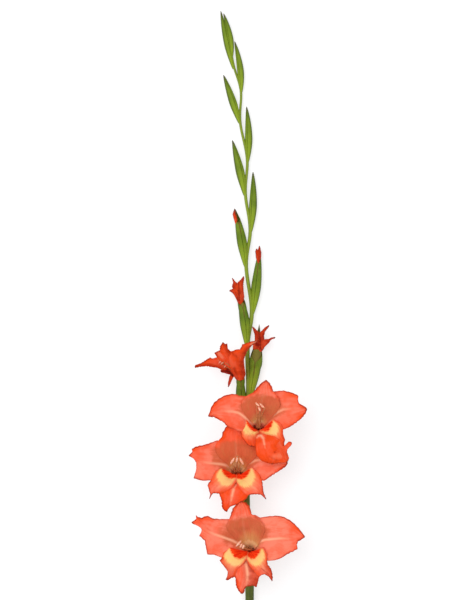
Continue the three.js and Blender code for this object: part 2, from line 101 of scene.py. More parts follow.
def bezier(points, t):
    # point on a Bezier curve of any degree: the sum of the control points by their Bernstein weights
    n = len(points) - 1
    weights = np.stack([math.comb(n, k) * t ** k * (1 - t) ** (n - k) for k in range(n + 1)], -1)
    return weights @ np.asarray(points, float)


def linked(name, data):
    thing = bpy.data.objects.new(name, data)
    bpy.context.scene.collection.objects.link(thing)
    return thing


def finish(name, body, material, node):
    # a mesh from arrays in millimetres, with its own surface coordinates as a UV map and named attributes
    vertices, faces, values = body
    mesh = bpy.data.meshes.new(name)
    mesh.from_pydata(((vertices - origin) * metre).tolist(), [], faces)
    mesh.polygons.foreach_set("use_smooth", np.ones(len(mesh.polygons), bool))
    corner = np.zeros(len(mesh.loops), np.int32)
    mesh.loops.foreach_get("vertex_index", corner)
    for key, value in values.items():
        if key == "uv":
            surface = mesh.uv_layers.new(name="surface").data
            surface.foreach_set("uv", value[corner].astype(np.float32).ravel())
        else:
            field = mesh.attributes.new(key, "FLOAT_VECTOR", "POINT").data
            field.foreach_set("vector", value.astype(np.float32).ravel())
    mesh.update()
    piece = linked(name, mesh)
    mesh.materials.append(material)
    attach(piece, "root")
    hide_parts(node)


def gridFaces(rows, columns, closed=False):
    # quads between neighbours of a grid, its columns joined round when closed
    i = columns * np.arange(rows - 1)[:, None]
    j = np.arange(columns if closed else columns - 1)[None, :]
    right = (j + 1) % columns
    return np.stack([i + j, i + right, i + columns + right, i + columns + j], -1).reshape(-1, 4)


def shellOf(middle, thickness):
    # closed thin sheet: the middle surface moved out and in by half its thickness along its normal,
    # and a rim
    rows, columns = middle.shape[:2]
    normal = unit(np.cross(np.gradient(middle, axis=1), np.gradient(middle, axis=0)))
    move = normal * (thickness / 2)[..., None]
    vertices = np.concatenate([(middle + move).reshape(-1, 3), (middle - move).reshape(-1, 3)])
    top = gridFaces(rows, columns)
    count = rows * columns
    down = np.arange(rows - 1) * columns
    over = np.arange(columns - 1)
    rim = np.concatenate([over, down + columns - 1, count - 1 - over, down[::-1] + columns])
    after = np.roll(rim, -1)
    sides = np.stack([rim, rim + count, after + count, after], -1)
    return vertices, np.concatenate([top, top[:, ::-1] + count, sides]).tolist()


def ringsOf(path, reach, way):
    # rings across a path: the centre plus reach(t, angle) in the plane across it, angle counted from way
    ahead = unit(np.gradient(path, axis=0))
    first = unit(way - (ahead @ way)[:, None] * ahead)
    second = np.cross(ahead, first)
    angle = turnOf(reach.shape[1])[..., None]
    spokes = first[:, None] * np.cos(angle) + second[:, None] * np.sin(angle)
    return path[:, None] + reach[..., None] * spokes


def tubeOf(rings):
    # closed tube: the rings joined, and a fan over each end
    rows, columns = rings.shape[:2]
    vertices = np.concatenate([rings.reshape(-1, 3), rings[0].mean(0)[None], rings[-1].mean(0)[None]])
    k = np.arange(columns)
    after = (k + 1) % columns
    last = (rows - 1) * columns
    foot = np.full(columns, rows * columns)
    ends = np.concatenate([np.stack([after, k, foot], -1), np.stack([last + k, last + after, foot + 1], -1)])
    return vertices, gridFaces(rows, columns, True).tolist() + ends.tolist()


def joined(bodies):
    # several closed meshes as one: vertices, faces and values one after another
    faces, start = [], 0
    for points, loops, _ in bodies:
        faces += [[start + k for k in loop] for loop in loops]
        start += len(points)
    values = {key: np.concatenate([body[2][key] for body in bodies]) for key in bodies[0][2]}
    return np.concatenate([body[0] for body in bodies]), faces, values


# Shader helpers. A socket knows its own tree, so most of them need only their values.


def put(socket, given):
    # links a socket to another, or sets it, a colour with its alpha
    if isinstance(given, bpy.types.NodeSocket):
        socket.id_data.links.new(given, socket)
    else:
        socket.default_value = (*given, 1.0) if socket.type == "RGBA" else given


def nodeIn(tree, kind, values=None, **settings):
    node = tree.nodes.new(kind)
    for key, value in settings.items():
        setattr(node, key, value)
    for key, value in (values or {}).items():
        put(node.inputs[key], value)
    return node.outputs


def treeOf(*values):
    return next(value.id_data for value in values if isinstance(value, bpy.types.NodeSocket))


def maths(operation, *values):
    return nodeIn(treeOf(*values), "ShaderNodeMath", dict(enumerate(values)), operation=operation)[0]


def plus(a, b):
    return maths("ADD", a, b)


def times(a, b, more=0.0):
    # a * b + more
    return maths("MULTIPLY_ADD", a, b, more)


def clamped(value):
    return nodeIn(treeOf(value), "ShaderNodeClamp", {0: value})[0]


def ramp(value, low, high, to=(0.0, 1.0)):
    # smooth step of a value between two limits
    limits = {"Value": value, "From Min": low, "From Max": high, "To Min": to[0], "To Max": to[1]}
    return nodeIn(treeOf(value), "ShaderNodeMapRange", limits, interpolation_type="SMOOTHSTEP")["Result"]


def vectorOf(x, y):
    return nodeIn(treeOf(x), "ShaderNodeCombineXYZ", {"X": x, "Y": y})[0]


def partsOf(vector):
    return nodeIn(treeOf(vector), "ShaderNodeSeparateXYZ", {0: vector})


def carried(tree, name):
    # the parts of a named attribute
    return partsOf(nodeIn(tree, "ShaderNodeAttribute", attribute_name=name)["Vector"])


def noiseOf(place, scale, detail):
    values = {"Vector": place, "Scale": scale, "Detail": detail}
    return nodeIn(treeOf(place), "ShaderNodeTexNoise", values)["Fac"]


def coated(base, *coats):
    # a colour under its coats, each a share and a colour
    for share, coat in coats:
        values = {0: share, 6: base, 7: coat}
        base = nodeIn(treeOf(share), "ShaderNodeMix", values, data_type="RGBA")[2]
    return base


def groupOf(name, inputs, outputs):
    # an empty shader node group of numbers
    group = bpy.data.node_groups.new(name, "ShaderNodeTree")
    kind = "NodeSocketFloat"
    for label, value in inputs.items():
        group.interface.new_socket(name=label, in_out="INPUT", socket_type=kind).default_value = value
    for label in outputs:
        group.interface.new_socket(name=label, in_out="OUTPUT", socket_type=kind)
    return group, group.nodes.new("NodeGroupInput").outputs, group.nodes.new("NodeGroupOutput").inputs


def placed(tree, group, values):
    return nodeIn(tree, "ShaderNodeGroup", values, node_tree=group)


def materialOf(name, roughness, specular):
    material = bpy.data.materials.new(name)
    material.use_nodes = True
    shader = material.node_tree.nodes["Principled BSDF"]
    shader.inputs["Roughness"].default_value = roughness
    shader.inputs["Specular IOR Level"].default_value = specular
    return material, material.node_tree, shader


def dressed(shader, base, height, strength, distance):
    # the colour, and a fine relief of the surface
    put(shader.inputs["Base Color"], base)
    values = {"Height": height, "Strength": strength, "Distance": distance}
    put(shader.inputs["Normal"], nodeIn(treeOf(base), "ShaderNodeBump", values)[0])


# Fine lines that run along a surface: a wave across it that a slow noise bends and breaks.
veinStart = {"Across": 0.0, "Along": 0.0, "Lines": 20.0, "Break": 3.0}
veins, given, out = groupOf("veins", veinStart, ("Mask", "Height"))
drift = noiseOf(vectorOf(given["Across"], given["Along"]), given["Break"], 3.0)
wave = maths("SINE", times(times(given["Across"], given["Lines"], times(drift, 1.6)), 2 * math.pi))
put(out["Mask"], times(ramp(wave, 0.25, 1.0), ramp(drift, 0.3, 0.6)))
put(out["Height"], times(wave, 0.5))

# Uneven colour of living tissue: two sizes of noise over the object's own coordinates.
mottle, given, out = groupOf("mottle", {"Scale": 120.0}, ("Mask", "Fine"))
spot = nodeIn(mottle, "ShaderNodeTexCoord")["Object"]
put(out["Mask"], ramp(noiseOf(spot, given["Scale"], 4.0), 0.35, 0.65))
put(out["Fine"], noiseOf(spot, times(given["Scale"], 9.0), 2.0))

# The marks of a lower side petal: a red blotch beside the throat over a yellow crescent. Each comes in as mm
# inside its outline; noise drawn out along the petal frays it, and the yellow fades out slowly.
markStart = {"RedDepth": -9.0, "YellowDepth": -9.0, "Across": 0.0, "Along": 0.0}
marks, given, out = groupOf("throatMarks", markStart, ("Red", "Yellow", "Glow"))
fray = noiseOf(vectorOf(times(given["Across"], 22.0), times(given["Along"], 7.0)), 1.0, 3.0)
fray = times(fray, 5.0, -2.5)
put(out["Red"], ramp(plus(given["RedDepth"], fray), -0.7, 0.6))
put(out["Yellow"], ramp(plus(given["YellowDepth"], fray), -1.4, 1.6))
put(out["Glow"], ramp(times(fray, 1.5, given["YellowDepth"]), -6.5, 0.0))

# A petal carries: rim (how much a neighbour lies under it, mm from its nearest edge), place (mm inside
# the red and the yellow mark, and how much it is a lip), tint (tan, painted shade where petals overlap,
# richness from 0 pale to 2 deep, stripe, partly painted highlight), touch (edge line, crimson, partly
# painted shade, dried tip) and hollow (olive, lightened past 1 as painted light, brown band, dark of the
# throat, painted shade).
# Here and below, surface is a roughness and a shine, and relief the strength and depth of fine bumps.
petalLook = {
    "pale": (0.90, 0.232, 0.145), "full": (0.90, 0.128, 0.058), "deep": (0.87, 0.072, 0.007),
    # crimson is the buds' own deep red, and also painted shade
    "crimson": (0.26, 0.008, 0.003), "edge": (0.42, 0.026, 0.008), "seam": (0.86, 0.10, 0.020),
    "dried": (0.07, 0.035, 0.015), "cream": (0.96, 0.49, 0.30), "tan": (0.58, 0.118, 0.045),
    "rose": (0.72, 0.13, 0.065), "brown": (0.44, 0.090, 0.032), "olive": (0.70, 0.32, 0.11),
    "honeyLight": (0.96, 0.60, 0.28), "red": (0.80, 0.020, 0.002), "flame": (0.97, 0.062, 0.006),
    "orange": (0.93, 0.21, 0.05), "yellow": (0.95, 0.58, 0.22), "lime": (0.84, 0.62, 0.17),
    # throat is painted shade: the dark of the throat's opening and of deep creases
    "blush": (0.95, 0.34, 0.135), "throat": (0.075, 0.010, 0.005),
    "surface": (0.5, 0.07), "through": 0.2, "relief": (0.35, 0.0004)}


def petalMaterial():
    look = petalLook
    material, tree, shader = materialOf("petal", *look["surface"])
    names = ("rim", "place", "tint", "touch", "hollow")
    rim, place, tint, touch, hollow = (carried(tree, name) for name in names)
    uv = partsOf(nodeIn(tree, "ShaderNodeUVMap", uv_map="surface")[0])
    across, along = uv["X"], uv["Y"]
    speckle = placed(tree, mottle, {"Scale": 130.0})
    clouds = speckle["Mask"]
    lines = placed(tree, veins, {"Across": across, "Along": along, "Lines": 26.0, "Break": 4.0})
    streak = plus(noiseOf(vectorOf(times(across, 12.0), times(along, 3.5)), 1.0, 4.0), -0.5)
    # richness runs from pale beside the rib to deep at the ends, with streaks and clouds that grow outwards
    rich = times(plus(clouds, -0.5), 0.55, tint["Y"])
    rich = times(streak, times(ramp(rim["Y"], 9.0, 0.5), 1.8, 1.2), rich)
    rich = times(lines["Mask"], 0.4, rich)
    # crimson: the buds' own deep red, and painted shade on petal sides, ends and creases
    crimsonAndShade = clamped(times(touch["Y"], times(clouds, 0.75, 0.55)))
    base = coated(look["pale"], (clamped(rich), look["full"]), (clamped(plus(rich, -1.0)), look["deep"]),
                  (crimsonAndShade, look["crimson"]))
    # painted shade in tan where petals lie over each other round the throat and block the light from behind,
    # brown across it, olive and streaked near its foot, and honey at the throat's heart, which is painted
    # light
    tanShadeShare = plus(tint["X"], times(streak, 0.6, times(clouds, 0.4, -0.2)))
    tanShadeShare = times(ramp(tanShadeShare, 0.08, 0.92), ramp(tint["X"], 0.0, 0.12))
    # the olive fan; past 1, at the throat's heart, honey as painted light
    fan = times(streak, 0.8, hollow["X"])
    tanShade = coated(look["tan"], (hollow["Y"], look["brown"]), (times(clouds, 0.5), look["rose"]),
                    (clamped(fan), look["olive"]), (ramp(fan, 1.0, 1.6), look["honeyLight"]),
                    (times(lines["Mask"], 0.4), look["brown"]),
                    (times(maths("MAXIMUM", tint["Y"], 0.4), 0.12), look["deep"]))
    # cream along the rib and on pale lines, some of which are painted highlights
    stripe = times(times(streak, 0.6, 1.0), tint["Z"])
    # the marks of a lip, and the blush and halo round them
    mark = placed(tree, marks, {"RedDepth": place["X"], "YellowDepth": place["Y"], "Across": across,
                                "Along": along})
    glow = times(times(mark["Glow"], place["Z"]), ramp(rim["Y"], 1.0, 4.5, (0.0, 0.55)))
    gold = coated(look["yellow"], (times(clouds, 0.5), look["lime"]))
    halo = times(ramp(place["X"], -1.8, 0.0, (0.0, 0.6)), place["Z"])
    blotch = coated(look["red"], (ramp(streak, -0.10, 0.12), look["flame"]))
    # a thin deep edge line that comes and goes
    edge = times(ramp(times(streak, -3.5, rim["Y"]), 2.2, 0.5), touch["X"])
    edgeColour = coated(look["edge"], (rim["X"], look["seam"]))
    base = coated(base, (tanShadeShare, tanShade), (stripe, look["cream"]), (glow, look["blush"]),
                  (times(mark["Yellow"], place["Z"]), gold), (halo, look["orange"]),
                  (times(mark["Red"], place["Z"]), blotch), (edge, edgeColour), (touch["Z"], look["dried"]),
                  (hollow["Z"], look["throat"]))
    height = times(streak, 3.0, times(lines["Height"], 0.6, speckle["Fine"]))
    dressed(shader, base, height, *look["relief"])
    # part of the light passes through the thin petal
    thin = nodeIn(tree, "ShaderNodeBsdfTranslucent", {"Color": base})[0]
    both = nodeIn(tree, "ShaderNodeMixShader", {0: look["through"], 1: shader.outputs[0], 2: thin})[0]
    put(tree.nodes["Material Output"].inputs["Surface"], both)
    return material


# A bract carries skin (share across its width from -1 to 1, share along, mm from its edge).
greenLook = {
    "bract": (0.088, 0.150, 0.006), "fresh": (0.235, 0.320, 0.016), "dark": (0.028, 0.046, 0.006),
    "margin": (0.19, 0.13, 0.026), "point": (0.13, 0.095, 0.06), "stemLow": (0.050, 0.068, 0.009),
    "stemHigh": (0.185, 0.245, 0.016), "cut": (0.45, 0.50, 0.22), "cutAt": (-0.3908, -0.3914),
    "bractSurface": (0.55, 0.14), "bractRelief": (0.35, 0.0003), "stemSurface": (0.5, 0.22),
    "stemRelief": (0.3, 0.0004)}


def bractMaterial():
    look = greenLook
    material, tree, shader = materialOf("bract", *look["bractSurface"])
    skin = carried(tree, "skin")
    speckle = placed(tree, mottle, {"Scale": 90.0})
    lines = placed(tree, veins, {"Across": skin["X"], "Along": skin["Y"], "Lines": 13.0, "Break": 3.0})
    # fresh yellow-green at the foot and towards the spike's top, darker up the blade and at its point, and
    # darker along its flanks, where its sides turn down away from the light: painted shade
    far = partsOf(nodeIn(tree, "ShaderNodeTexCoord")["Object"])["Y"]
    fromSeam = maths("ABSOLUTE", skin["X"])
    flankShade = times(ramp(fromSeam, 0.28, 0.48, (0.0, 0.62)), ramp(fromSeam, 0.75, 0.55))
    base = coated(look["fresh"], (ramp(skin["Y"], 0.05, 0.6), look["bract"]),
                  (times(speckle["Mask"], 0.35), look["fresh"]),
                  (ramp(far, 0.08, 0.30, (0.0, 0.32)), look["fresh"]), (flankShade, look["dark"]),
                  (ramp(skin["Y"], 0.66, 1.0, (0.0, 0.6)), look["dark"]),
                  (ramp(skin["Y"], 0.86, 1.0, (0.0, 0.7)), look["point"]),
                  (times(lines["Mask"], 0.35), look["dark"]),
                  (ramp(skin["Z"], 0.5, 0.1, (0.0, 0.8)), look["margin"]))
    dressed(shader, base, times(speckle["Fine"], 0.4, lines["Height"]), *look["bractRelief"])
    return material


def stemMaterial():
    look = greenLook
    material, tree, shader = materialOf("stemSkin", *look["stemSurface"])
    where = nodeIn(tree, "ShaderNodeTexCoord")["Object"]
    along = partsOf(where)["Y"]
    speckle = placed(tree, mottle, {"Scale": 60.0})
    drawn = nodeIn(tree, "ShaderNodeMapping", {"Vector": where, "Scale": (900.0, 14.0, 900.0)})[0]
    streak = noiseOf(drawn, 1.0, 4.0)
    base = coated(look["stemLow"], (ramp(along, -0.2, 0.12), look["stemHigh"]),
                  (times(speckle["Mask"], 0.2), look["fresh"]),
                  (ramp(streak, 0.45, 0.7, (0.0, 0.4)), look["dark"]),
                  (ramp(along, *look["cutAt"]), look["cut"]))
    dressed(shader, base, streak, *look["stemRelief"])
    return material


stamenLook = {"anther": ((0.84, 0.43, 0.30), (0.66, 0.27, 0.17), (0.7, 0.2)),
              "filament": ((0.54, 0.175, 0.062), (0.38, 0.12, 0.042), (0.6, 0.2)),
              "relief": (0.4, 0.0002), "softness": 0.2, "softDepth": 0.001}


def stamenMaterial(name):
    look = stamenLook
    light, shade, surface = look[name]
    material, tree, shader = materialOf(name, *surface)
    speckle = placed(tree, mottle, {"Scale": 700.0})
    dressed(shader, coated(light, (speckle["Mask"], shade)), speckle["Fine"], *look["relief"])
    shader.inputs["Subsurface Weight"].default_value = look["softness"]
    shader.inputs["Subsurface Scale"].default_value = look["softDepth"]
    return material


petalSkin = petalMaterial()
bractSkin = bractMaterial()
stemSkin = stemMaterial()
antherSkin = stamenMaterial("anther")
filamentSkin = stamenMaterial("filament")
print("materials made")

# One row for each floret, from the cut end to the tip. at is where it leaves the stem, lift and stem are the
# stem's height and radius there, side is 1 for the right, and tip, girth and bow are its bracts' end, half
# width and sideways bend.
floretRows = [
    ((0.7, 205), 4.6, 4.3, 1, (7.2, 260, 15), 5.7, 4),
    ((-2.8, 283), 4.6, 3.8, -1, (-12.9, 334, 13), 5.7, -2.5),
    ((-0.9, 329), 4.6, 3.5, 1, (9.2, 385, 14), 5.7, 3.5),
    ((-3.4, 372), 4.6, 3.1, -1, (-7.8, 420, 8), 5.2, -2.2),
    ((-0.2, 392), 4.6, 2.8, 1, (10.6, 466, 5.5), 5.7, 1.9),
    ((-1.2, 445), 4.6, 2.2, -1, (-10.2, 500, 6), 5.0, 2.0),
    ((3.1, 478), 4.7, 2.0, 1, (11.0, 541, 4.2), 4.9, 0.8),
    ((-2.6, 526), 4.7, 1.8, -1, (-13.5, 582, 4.4), 4.9, 1.0),
    ((1.5, 561), 4.0, 1.7, 1, (4.3, 620, 3.4), 3.9, 1.6),
    ((-3.4, 598), 4.2, 1.5, -1, (-16.6, 652, 3.6), 4.3, 0.8),
    ((-1.5, 632), 3.8, 1.4, 1, (-2.2, 686, 3.4), 3.7, 1.9),
    ((-8.7, 671), 3.9, 1.3, -1, (-25.6, 718, 3.4), 3.8, 0.4),
    ((-8.0, 702), 3.4, 1.2, 1, (-14.3, 752, 3.0), 3.3, 2.6),
    ((-14.9, 726), 3.2, 1.1, -1, (-28.3, 783, 2.9), 3.2, -1.0),
    ((-17.3, 738), 3.3, 1.0, 1, (-25.4, 780, 4.2), 3.1, 2.2)]
florets = [dict(zip(("at", "lift", "stem", "side", "tip", "girth", "bow"), row)) for row in floretRows]

stemShape = {"bare": [(0.6, 0, 4.6, 4.7), (0.2, 100, 4.6, 4.5)], "perSpan": 26, "sides": 48, "ridges": 11,
             "ridgeDepth": 0.016, "swelling": 0.09, "swellingLength": 9.0}


def splineThrough(points, perSpan):
    # centripetal Catmull-Rom: cubic spans whose tangents come from the neighbours, timed by the root
    # of distance
    points = np.asarray(points, float)
    ends = np.concatenate([[2 * points[0] - points[1]], points, [2 * points[-1] - points[-2]]])
    step = np.sqrt(np.linalg.norm(np.diff(ends, axis=0), axis=1))
    t = np.linspace(0, 1, perSpan, endpoint=False)[:, None]
    spans = []
    for k in range(len(points) - 1):
        before, here, after, beyond = ends[k:k + 4]
        d0, d1, d2 = step[k:k + 3]
        m1 = ((here - before) / d0 - (after - before) / (d0 + d1) + (after - here) / d1) * d1
        m2 = ((after - here) / d1 - (beyond - here) / (d1 + d2) + (beyond - after) / d2) * d1
        bend = 3 * (after - here) - 2 * m1 - m2
        spans.append(here + m1 * t + bend * t ** 2 + (2 * here - 2 * after + m1 + m2) * t ** 3)
    return np.concatenate(spans + [points[-1:]])


def buildStem():
    # radius = straight between stations, with shallow ridges round it and a soft swelling under each floret
    shape = stemShape
    stations = np.array(shape["bare"] + [(*f["at"], f["lift"], f["stem"]) for f in florets], float)
    path = splineThrough(stations[:, :3], shape["perSpan"])
    radius = np.interp(path[:, 1], stations[:, 1], stations[:, 3])
    for f in florets:
        radius = radius * (1 + shape["swelling"] * bell((path[:, 1] - f["at"][1]) / shape["swellingLength"]))
    turn = turnOf(shape["sides"])
    ridges = 1 - shape["ridgeDepth"] * (1 + np.cos(shape["ridges"] * turn + 0.004 * path[:, 1:2]))
    rings = ringsOf(path, radius[:, None] * ridges, np.array([0, 0, -1.0]))
    rings[..., 2] = np.maximum(rings[..., 2], 0.0)
    finish("stem_skin", (*tubeOf(rings), {}), stemSkin, "stem")


bractShape = {"rows": 80, "columns": 61, "wall": 0.4, "keel": 0.08, "inner": 0.92, "ripple": 0.012,
              "waist": 0.62, "waistEnd": 0.5, "gap": 0.012, "tilt": 0.45, "openTilt": 0.12, "sides": 40,
              "tipGirth": 0.12, "shut": (0.93, 0.0, 0.93)}
# where each seam parts for its flower, how wide the bract stays beyond it, and where the inner bract ends
openings = {0: (0.35, 0.8, 0.45), 1: (0.35, 0.8, 0.45), 2: (0.35, 0.8, 0.45), 3: (0.77, 0.8, 0.84),
            4: (0.50, 1.12, 0.74), 5: (0.70, 0.80, 0.82), 6: (0.78, 0.5, 0.8), 7: (0.74, 0.5, 0.8)}


def bractLine(f, t):
    # quadratic Bezier from the foot beside the stem to the tip, bowed sideways and resting on the surface
    foot = np.array([f["at"][0] + f["side"] * 0.4 * f["stem"], f["at"][1] - 2, f["lift"]])
    tip = np.array(f["tip"], float)
    middle = mix(foot, tip, 0.45) + [f["bow"] * 1.6, 0, 0]
    middle[2] = max(f["girth"] * 1.02, (foot[2] + tip[2]) / 2 - 1)
    return bezier([foot, middle, tip], t)


def spindle(t):
    # narrow foot, widest at two fifths, long point
    return np.maximum(0.05, (1 - t) ** 0.8 * np.sqrt(t + 0.03) / 0.437)


def bractWidth(t, opening, hold):
    # the spindle with a waist, kept wide where the seam parts and then drawn in towards the tip
    past = np.clip((t - opening) / (1 - opening), 0, 1)
    kept = hold * smooth((t - opening + 0.3) / 0.3) * (1 - (2.4 if hold > 1 else 0.8) * past ** 2)
    return np.maximum(spindle(t), kept) * mix(bractShape["waist"], 1, smooth(t / bractShape["waistEnd"]))


def buildBracts(index, f):
    # outer bract: a sheet wrapped round the pair's line from its back, its two edges meeting along the seam
    shape = bractShape
    isOpen = index in openings
    opening, hold, innerEnd = openings.get(index, shape["shut"])
    t = np.linspace(0, 1, shape["rows"])[:, None]
    across = np.linspace(-1, 1, shape["columns"])[None, :]
    past = np.clip((t - opening) / (1 - opening), 0, 1)
    reach = np.pi * (1 - shape["gap"]) * (1 - 0.5 * smooth((t - opening) / 0.16))
    reach = reach * np.sqrt(1.0001 - past ** 1.6)
    angle = np.pi + reach * across
    keel = 1 + shape["keel"] * bell((angle - np.pi) / 0.35)
    radius = f["girth"] * bractWidth(t, opening, hold) * keel * (1 + shape["ripple"] * np.cos(14 * angle))
    path = bractLine(f, t[:, 0])
    ahead = unit(np.gradient(path, axis=0))
    seamWay = unit(np.array([-f["side"] * (shape["openTilt"] if isOpen else shape["tilt"]), 0, 1.0]))
    first = unit(seamWay - (ahead @ seamWay)[:, None] * ahead)
    second = np.cross(ahead, first)
    spokes = first[:, None] * np.cos(angle)[..., None] + second[:, None] * np.sin(angle)[..., None]
    sheet = path[:, None] + radius[..., None] * spokes
    sheet[..., 2] = np.maximum(sheet[..., 2], shape["wall"] / 2)
    edge = (1 - np.abs(across[:, ::-1])) * reach * radius + 0.6 * smooth((opening - 0.12 - t) / 0.1)
    skin = fieldOf(angle.shape, across[:, ::-1], t, edge + (0 if isOpen else 9))
    wall = np.full(angle.shape, shape["wall"])
    outer = (*shellOf(sheet[:, ::-1], wall), {"skin": np.concatenate([skin, skin])})
    # inner bract: a closed spindle just inside the outer one, a little shorter
    s = np.linspace(0, innerEnd, shape["rows"])[:, None]
    turn = turnOf(shape["sides"])
    closing = np.sqrt(np.clip(1.01 - (s / innerEnd) ** (18 if isOpen else 6), 0, 1))
    girth = f["girth"] * bractWidth(s, opening, hold) * shape["inner"] * closing - 0.2
    girth = np.maximum(shape["tipGirth"], girth)
    way = unit(np.array([-f["side"] * shape["tilt"], 0, 1.0]))
    rings = ringsOf(bractLine(f, s[:, 0]), girth * (1 + 0.01 * np.cos(10 * turn)), way)
    rings[..., 2] = np.maximum(rings[..., 2], 0.3)
    paper = 9 - 8.8 * smooth((s - opening + 0.1) / 0.1) * isOpen
    skin = fieldOf(rings.shape[:2], np.cos(turn), s, paper)
    inner = (*tubeOf(rings), {"skin": np.concatenate([skin, skin[:1], skin[-1:]])})
    name = f"bracts_{index + 1:02d}"
    finish(f"{name}_green", joined([outer, inner]), bractSkin, name)


buildStem()
for index, f in enumerate(florets):
    buildBracts(index, f)
print("stem and bracts made")

# Spots in a flower are (across, down) in the camera's picture, measured from its throat. A petal's rib,
# and its edges a and b, run from the throat to the tip; red and yellow are a lip's marks. An open bloom's
# petals rise with its cup: tall is the slope at the rib's end (90 level), whorl the distance from the
# throat's middle, layer a lift over the neighbours, reached by the share early, shelf how far out a lip
# levels off, and cup bends the sides. Other petals have a lift, their heights from first to last, and a
# curl. rich (near and far), stripe, crimson (side a and side b), ends, line and dried (reach and
# strength) set the colours; crimson and ends are the buds' own deep red, and on the blooms' petals
# painted shade. A fold is a line, its width, depth and darkness, that darkness painted shade in the
# crease, and a pale is a line, its width and strength, a paler stripe, and on some petals a painted
# highlight.
petalStart = {"layer": 0, "early": 0.35, "shelf": 0, "cup": 0, "curl": 0, "wave": 0.3, "waves": 1.5,
              "phase": 0, "rich": (2, 2), "stripe": 0, "crimson": (0, 0), "ends": 0, "line": 1,
              "dried": (1.1, 0.5), "folds": [], "pales": []}
roles = {
    "right": {"tall": 94, "whorl": 4.8, "wave": 1.2},
    "left": {"tall": 96, "whorl": 4.8, "stripe": 0.8, "waves": 1.6},
    "hood": {"layer": 0.2, "whorl": 3.4, "cup": 0.3, "stripe": 0.15, "wave": 0.6, "waves": 1.2, "phase": 1},
    "lowerLeft": {"tall": 98, "layer": 1.1, "whorl": 3.4, "cup": (-0.3, -1.7), "shelf": 10, "stripe": 0.6,
                  "wave": 0.8, "waves": 1.4},
    "lowerRight": {"tall": 98, "layer": 1.35, "whorl": 3.4, "cup": (-0.3, -1.7), "shelf": 10, "stripe": 0.6,
                   "wave": 0.8, "waves": 1.4, "phase": 2},
    "lowerMiddle": {"tall": 92, "layer": 1.6, "whorl": 4.8, "shelf": 10, "wave": 0.8, "waves": 1.2,
                    "phase": 1}}
flowers = []


def addFlower(name, **values):
    start = {"folds": [], "anthers": [], "band": 0, "facing": (0, 0, 1), "scale": 1}
    flowers.append({"name": name, "petals": {}, "isOpen": "disc" in values, **start, **values})


def addPetal(key, **values):
    bloom = flowers[-1]
    role = roles[key] if bloom["isOpen"] else {}
    bloom["petals"][key] = {**petalStart, **role, **values}


addFlower(
    "bloom_1", throat=(249.6, 549.9), height=32, floret=0, disc=(-4.8, -16.9, 27, 18), olive=24, band=0.6,
    pits=[(-0.6, -0.1, 1.2), (3.7, -1.3, 1)],
    anthers=[((-13.8, -3.3), (-8.4, -9.5)), ((-9.8, -2.3), (-7.2, -6.5)), ((-7, -1.3), (-5.6, -5.3))])
addPetal(
    "right", rich=(0.1, 1.7), tall=96, stripe=0.85, waves=1.6,
    rib=[(3, -2.4), (7.4, -7.5), (15.8, -10.4), (30.4, -11.7), (45.4, -11.7), (55.2, -13)],
    a=[(1.8, -8.9), (-0.6, -25.9), (2.4, -35.1), (5.9, -35.1), (10.4, -32.3), (15.4, -33.2), (21.4, -34),
       (28.4, -34.4), (34.4, -33), (42.1, -28.5), (49.1, -21.9), (52.4, -17.7), (55.3, -13.5)],
    b=[(3.8, -0.3), (10.4, 7.1), (18.4, 11), (25, 10.5), (30.8, 8.7), (38, 4.1), (44, 1.5), (48.2, -0.9),
       (47.2, -5.1), (48.2, -8.3), (50.7, -9.7), (55.1, -12.5)])
addPetal(
    "left", rich=(0.25, 1.8), tall=94, wave=1.6, phase=0.6,
    folds=[(-50.6, -29.9, -39.1, -18.9, 1.3, 0.5, 0.15)],
    rib=[(-3.2, -0.9), (-11.2, -6.5), (-18.2, -9.7), (-27.6, -13.1), (-35.6, -15.9), (-45.6, -20.4),
         (-57.9, -27.4)],
    a=[(-2, -6.9), (-8.6, -23.9), (-19.8, -30.9), (-28.9, -30.9), (-37.2, -31.7), (-42.2, -34.2),
       (-48, -32.1), (-51.3, -32.5), (-53.8, -35), (-53.2, -31.3), (-58, -27.7)],
    b=[(-4, 1.1), (-15.6, 6.1), (-27.3, 8.1), (-35.6, 4.8), (-42.2, 4.8), (-43.5, -1.8), (-44.9, -9.3),
       (-50.5, -13.9), (-47.6, -19.2), (-47.8, -23.6), (-56.3, -25.7), (-57.8, -27)])
addPetal(
    "hood", rich=(0.15, 1.6), tall=66, stripe=0.12,
    rib=[(0.4, 0.9), (-3.1, -9.9), (-5.6, -19.9), (-6.8, -31.9), (-7.6, -41.9), (-8.1, -48.7)],
    a=[(-3.2, 1.1), (-10, -6.9), (-18.2, -15.3), (-22.6, -19.9), (-23.2, -23.9), (-21.6, -28.4),
       (-19.4, -33.3), (-18.2, -36.9), (-16.8, -41.3), (-14.2, -44.7), (-11, -47.5), (-8.4, -48.9)],
    b=[(4.4, -0.1), (9.4, -6.3), (12.9, -12.4), (15.6, -18.9), (15, -23.9), (11.4, -28.7), (5.9, -32.6),
       (2, -36.4), (1.1, -40.4), (-0.3, -43.9), (-3.8, -47.3), (-7.6, -48.9)])
